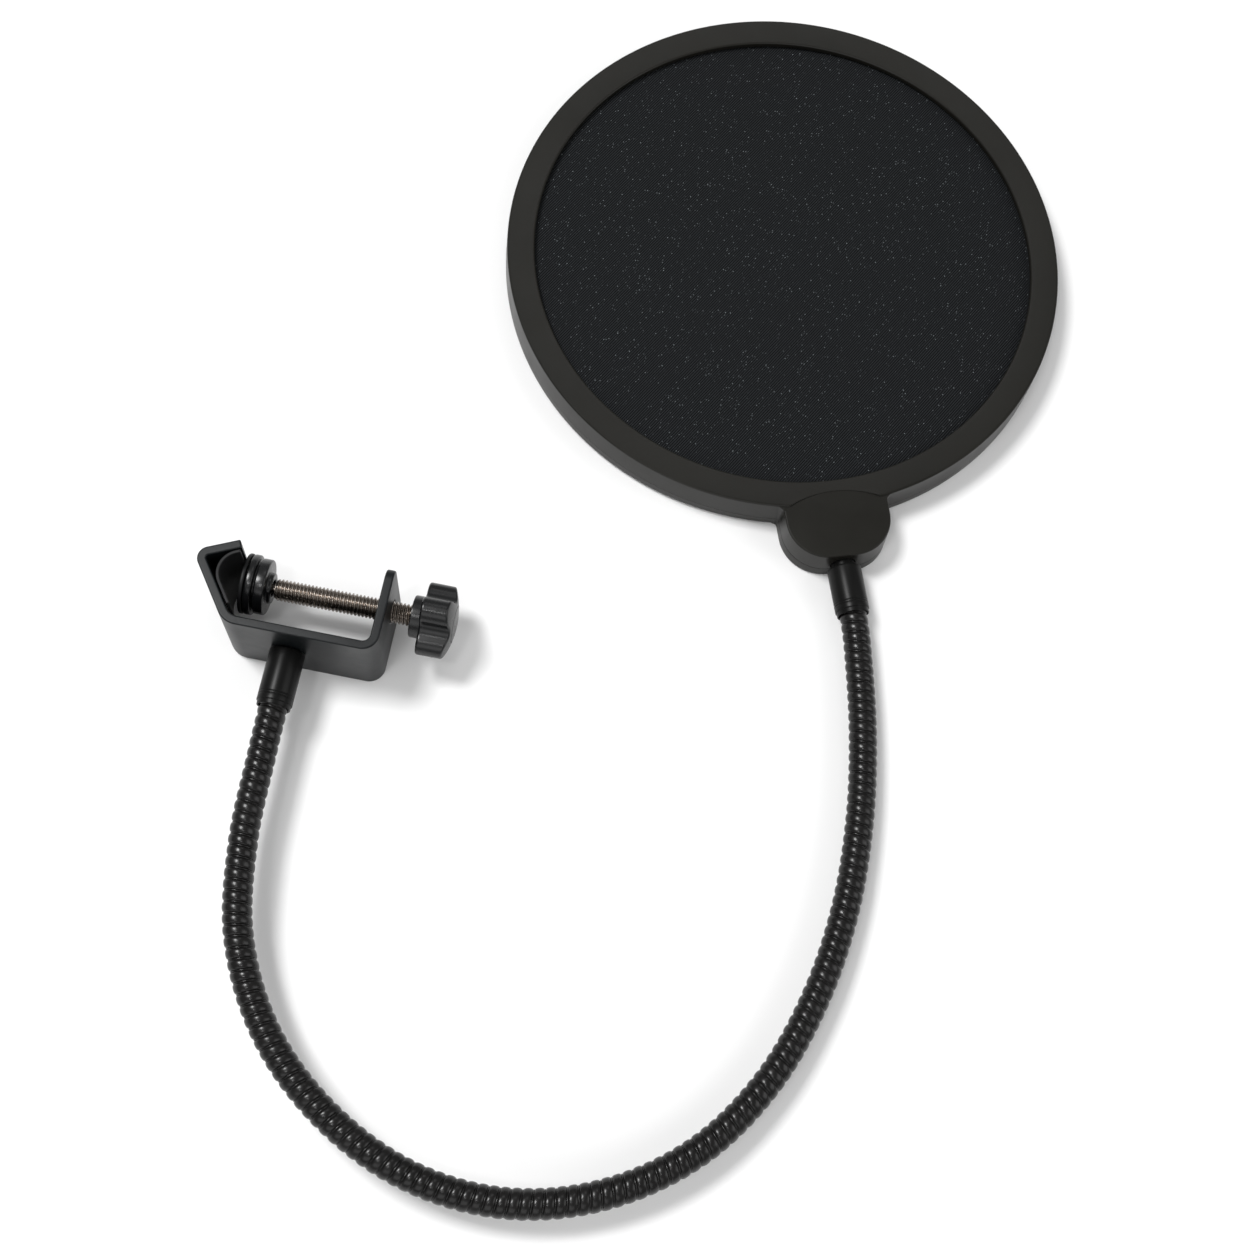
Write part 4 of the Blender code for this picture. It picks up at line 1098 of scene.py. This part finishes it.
# ---- the clamp
def rounded_path(corners, radii, steps=14):
    """An open path through corners, each inner corner rounded to its radius."""
    path = [corners[0]]
    for before, corner, after, radius in zip(corners, corners[1:], corners[2:], radii):
        corner = Vector(corner)
        back = (Vector(before) - corner).normalized()
        ahead = (Vector(after) - corner).normalized()
        half = back.angle(ahead) / 2
        centre = corner + (back + ahead).normalized() * radius / math.sin(half)
        first = corner + back * radius / math.tan(half) - centre
        last = corner + ahead * radius / math.tan(half) - centre
        start = math.atan2(first.y, first.x)
        sweep = (math.atan2(last.y, last.x) - start + math.pi) % (2 * math.pi) - math.pi
        path += arc(centre, radius, start, start + sweep, steps)
    path.append(corners[-1])
    return path


def band_outline(path, thickness):
    """The closed outline of a strap: its path, and the path set off to its right."""
    points = [Vector(p) for p in path]
    inner = []
    for i, point in enumerate(points):
        before = (point - points[i - 1]).normalized() if i else None
        after = (points[i + 1] - point).normalized() if i + 1 < len(points) else None
        first = before or after
        second = after or before
        mean = (first + second).normalized()
        inner.append(point + Vector((mean.y, -mean.x)) * thickness / mean.dot(first))
    return [p.to_tuple() for p in points] + [p.to_tuple() for p in reversed(inner)]


def strap(name, path, width, thickness, edge, mat, cutters=()):
    """A flat strap stood on edge along a path, with all its edges rounded."""
    outline = band_outline(path, thickness)
    outline.reverse()
    obj = lofted(name, [raised(outline, 0.0), raised(outline, width)], mat)
    if cutters:
        combine(obj, cutters)
        weld(obj)
    bevel(obj, edge)
    return obj


def tip_corner(name, centre_y, corner_z):
    """What the rounding removes at one corner of the threaded leg's tip."""
    towards = 1 if corner_z > 0 else -1
    radius = LEG_TIP_ROUND
    outline = arc((0.0, 0.0), radius, 0.0, math.pi / 2, 8)
    outline += [(-GAP, radius + MM), (radius + MM, radius + MM), (radius + MM, -GAP)]
    outline = [(x, y * towards) for x, y in outline]
    if towards > 0:
        outline.reverse()
    width = 2 * STRAP_THICK
    height = corner_z - radius if towards > 0 else radius
    turn = Matrix.Rotation(math.pi / 2, 4, "Z") @ Matrix.Rotation(math.pi / 2, 4, "X")
    place = CENTRE + Vector((LEG_X - STRAP_THICK / 2, centre_y, height))
    rings = [raised(outline, -width), raised(outline, width)]
    return lofted(name, rings, None, Matrix.Translation(place) @ turn)


def clamp_bracket():
    path = rounded_path([LEG_TIP, LEG_BEND, JAW_BEND, JAW_VERTEX, JAW_TIP], BEND_RADII)
    past = 4 * STRAP_THICK
    screw_at = turned_to((1, 0, 0), (LEG_X - 3 * STRAP_THICK, SCREW_Y, AXIS_Z))
    stud_at = turned_to((0, -1, 0), (NECK_X_CLAMP, SPINE_Y + 3 * STRAP_THICK, AXIS_Z))
    holes = [
        plug("screw_hole", SCREW_HOLE, 0.0, past, screw_at, 40),
        plug("stud_hole", STUD_HOLE, 0.0, past, stud_at, 40),
    ]
    centre_y = LEG_TIP[1] - LEG_TIP_ROUND
    corners = [tip_corner("tip_low", centre_y, 0.0), tip_corner("tip_high", centre_y, STRAP_WIDTH)]
    bracket = strap("strap_bracket", path, STRAP_WIDTH, STRAP_THICK, STRAP_EDGE, coat, holes + corners)
    carry(bracket, "clamp", "clamp_bracket")


def jaw_liner():
    offset = STRAP_THICK + GAP
    bend, vertex, tip = (Vector(p) for p in (JAW_BEND, JAW_VERTEX, JAW_TIP))
    leg = (vertex - bend).normalized()
    lip = (tip - vertex).normalized()
    start = bend + leg * LINER_START + Vector((leg.y, -leg.x)) * offset
    end = tip - lip * LINER_END + Vector((lip.y, -lip.x)) * offset
    half = (-leg).angle(lip) / 2
    corner = vertex + (lip - leg).normalized() * offset / math.sin(half)
    path = rounded_path([start.to_tuple(), corner.to_tuple(), end.to_tuple()], (LINER_ROUND,), 16)
    liner = strap("soft_liner", path, STRAP_WIDTH, LINER_THICK, LINER_EDGE, liner_rubber)
    carry(liner, "clamp", "jaw_liner")


def clamp_collar():
    floor = CLAMP_COLLAR_LENGTH - NECK_GRIP - GAP
    collar = lathe("clamp_collar", [
        (STUD_HOLE, floor),
        *collar_profile(CLAMP_COLLAR_LENGTH, floor, 0.0),
        (STUD_HOLE, 0.0),
    ], collar_black, turned_to((0, -1, 0), (NECK_X_CLAMP, SPINE_Y - GAP, NECK_Z_CLAMP)), 96, COLLAR_EDGE)
    carry(collar, "clamp", "clamp_ferrule")


def stud():
    washer_y = SPINE_Y + STRAP_THICK + GAP + WASHER_THICK
    washer = lathe("stud_washer", [
        (STUD_HOLE, WASHER_THICK),
        (WASHER_RADIUS, WASHER_THICK),
        (WASHER_RADIUS, 0.0),
        (STUD_HOLE, 0.0),
    ], zinc, turned_to((0, -1, 0), (NECK_X_CLAMP, washer_y, AXIS_Z)), 72, WASHER_EDGE)
    carry(washer, "clamp", "neck_washer")
    head_y = washer_y + GAP + STUD["head"][1]
    matrix = turned_to((0, -1, 0), (NECK_X_CLAMP, head_y, AXIS_Z))
    carry(crossed_screw("stud_screw", matrix, **STUD), "clamp", "neck_screw")


# ---- screw, pad, knob
ON_AXIS = turned_to((1, 0, 0), (BALL_X, SCREW_Y, AXIS_Z))  # heights run from the ball's middle


def ball_arc(radius, start, end, steps):
    angles = np.linspace(math.asin(start / radius), math.asin(end / radius), steps + 1)
    return [(radius * math.cos(a), radius * math.sin(a)) for a in angles]


def clamp_screw():
    shoulder = SCREW_START_X - BALL_X
    end = SCREW_END_X - BALL_X
    neck_height = math.sqrt(BALL_RADIUS**2 - BALL_NECK**2)
    ball = lathe("screw_ball", [
        (0.0, shoulder + 0.5 * MM),
        (BALL_NECK, shoulder + 0.5 * MM),
        *ball_arc(BALL_RADIUS, neck_height, -BALL_RADIUS, 16)[:-1],
        (0.0, -BALL_RADIUS),
    ], nickel, IN_PLACE, 48, 0.0)
    rod = threaded_rod("screw_rod", THREAD_CREST, THREAD_DEPTH, THREAD_PITCH, shoulder, end, nickel)
    join(rod, ball)
    rod.data.transform(ON_AXIS)
    carry(rod, "screw", "clamp_screw")


def pressure_pad():
    face = PAD_FACE_X - BALL_X
    front = face + FACING_THICK + GAP
    back = PAD_BACK_X - BALL_X
    hub = back - PAD_HUB_LENGTH
    tier = hub - TIER_LENGTH
    groove = tier - PAD_GROOVE_WIDTH
    mouth = math.sqrt(SOCKET_RADIUS**2 - SOCKET_MOUTH**2)
    pad = lathe("swivel_pad", [
        (0.0, -SOCKET_RADIUS),
        *ball_arc(SOCKET_RADIUS, -SOCKET_RADIUS, mouth, 14)[1:],
        (SOCKET_MOUTH, back),
        (PAD_HUB_RADIUS, back),
        (PAD_HUB_RADIUS, hub),
        (TIER_RADIUS, hub),
        (TIER_RADIUS, tier),
        (PAD_GROOVE_RADIUS, tier),
        (PAD_GROOVE_RADIUS, groove),
        (PAD_RADIUS, groove),
        (PAD_RADIUS, front),
        (0.0, front),
    ], gloss, ON_AXIS, 112, PAD_EDGE)
    carry(pad, "pad", "pressure_pad")
    facing = lathe("pad_rubber", [
        (0.0, face + FACING_THICK),
        (PAD_RADIUS, face + FACING_THICK),
        (PAD_RADIUS, face),
        (FACING_GROOVE + FACING_GROOVE_MOUTH, face),
        (FACING_GROOVE + FACING_GROOVE_FLOOR, face + FACING_GROOVE_DEPTH),
        (FACING_GROOVE - FACING_GROOVE_FLOOR, face + FACING_GROOVE_DEPTH),
        (FACING_GROOVE - FACING_GROOVE_MOUTH, face),
        (0.0, face),
    ], liner_rubber, ON_AXIS, 112, FACING_EDGE)
    carry(facing, "pad", "pad_face")


def knob_outline(inset):
    """Lobes and flutes from above, anticlockwise, all arcs running into each other."""
    lobe = LOBE_ROUND - inset
    flute = FLUTE_ROUND + inset
    lobe_at = KNOB_RADIUS - LOBE_ROUND
    half = math.pi / LOBES
    reach = LOBE_ROUND + FLUTE_ROUND
    flute_at = lobe_at * math.cos(half) + math.sqrt(reach**2 - (lobe_at * math.sin(half)) ** 2)
    lean = math.atan2(flute_at * math.sin(half), flute_at * math.cos(half) - lobe_at)
    outline = []
    for index in range(LOBES):
        angle = 2 * half * index
        lobe_centre = (lobe_at * math.cos(angle), lobe_at * math.sin(angle))
        outline += arc(lobe_centre, lobe, angle - lean, angle + lean, 26)
        middle = angle + half
        flute_centre = (flute_at * math.cos(middle), flute_at * math.sin(middle))
        swing = lean - half
        outline += arc(flute_centre, flute, middle + math.pi + swing, middle + math.pi - swing, 12)[1:-1]
    return outline


def domed(outline, top, share=1.0, sink=0.0):
    """An outline laid on the knob's domed end, drawn in to a share of its size."""
    ring = []
    for x, y in outline:
        fall = KNOB_DOME * share**2 * (x**2 + y**2) / KNOB_RADIUS**2
        ring.append((share * x, share * y, top - fall - sink))
    return ring


def clamp_knob():
    hub_low, low, high, insert_end, waist_high, waist_low = (
        x - BALL_X for x in (KNOB_HUB_X, *KNOB_X, INSERT_END_X, *INSERT_WAIST_X))
    base = eased([(KNOB_FACE_INSET, low), (0.0, low), (0.0, high)], KNOB_EDGE, False, 6)[:-1]
    rings = [raised(knob_outline(inset), height) for inset, height in base]
    for inset, rise in QUARTER_TURN:
        rings.append(domed(knob_outline(KNOB_RIM * inset), high, 1.0, KNOB_RIM * (1 - rise)))
    for share in DOME_SHARES:
        rings.append(domed(knob_outline(KNOB_RIM), high, share))
    knob = lofted("lobed_knob", rings, gloss, ON_AXIS)
    combine(knob, [plug("knob_hub", HUB_RADIUS, hub_low, low + MM, ON_AXIS, 72, HUB_EDGE)], "UNION")
    inner, outer = CAP_LINE
    combine(knob, [
        plug("insert_pocket", INSERT_RADIUS + GAP, hub_low - MM, insert_end + GAP, ON_AXIS, 48),
        plug("screw_pocket", SCREW_POCKET_RADIUS, insert_end - MM, SCREW_POCKET_X - BALL_X, ON_AXIS, 48),
        lathe("cap_line", [
            (inner, high + MM),
            (outer, high + MM),
            (outer, high - CAP_LINE_DEPTH),
            (inner, high - CAP_LINE_DEPTH),
        ], None, ON_AXIS, 72, 0.0),
    ], sharp=SMOOTH_CUT)
    even_normals(knob)
    carry(knob, "screw", "clamp_knob")
    insert = lathe("threaded_insert", [
        (INSERT_BORE, insert_end),
        (INSERT_RADIUS, insert_end),
        (INSERT_RADIUS, waist_high),
        (INSERT_WAIST, waist_high),
        (INSERT_WAIST, waist_low),
        (INSERT_RADIUS, waist_low),
        (INSERT_RADIUS, hub_low + GAP),
        (INSERT_BORE, hub_low + GAP),
    ], brass, ON_AXIS, 64, INSERT_EDGE)
    carry(insert, "screw", "knob_insert")


def finish_hidden_nodes():
    """The CAD pieces that stay: the hoops, the spacer and the seat in the pad."""
    for node, mat in (("front_hoop", hidden_plastic), ("rear_hoop", hidden_plastic),
                      ("spacer_ring", hidden_plastic), ("ball_seat", acetal)):
        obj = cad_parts[node]
        for slot in obj.material_slots:
            slot.material = mat


gooseneck()
front_shell()
rear_shell()
screen("front_cloth", "front_screen", FRONT_SCREEN_Z, FRONT_DIP)
screen("rear_cloth", "rear_screen", REAR_SCREEN_Z + SCREEN_THICK, REAR_DIP)
shell_screws()
ring_collar()
clamp_bracket()
jaw_liner()
clamp_collar()
stud()
clamp_screw()
pressure_pad()
clamp_knob()
finish_hidden_nodes()
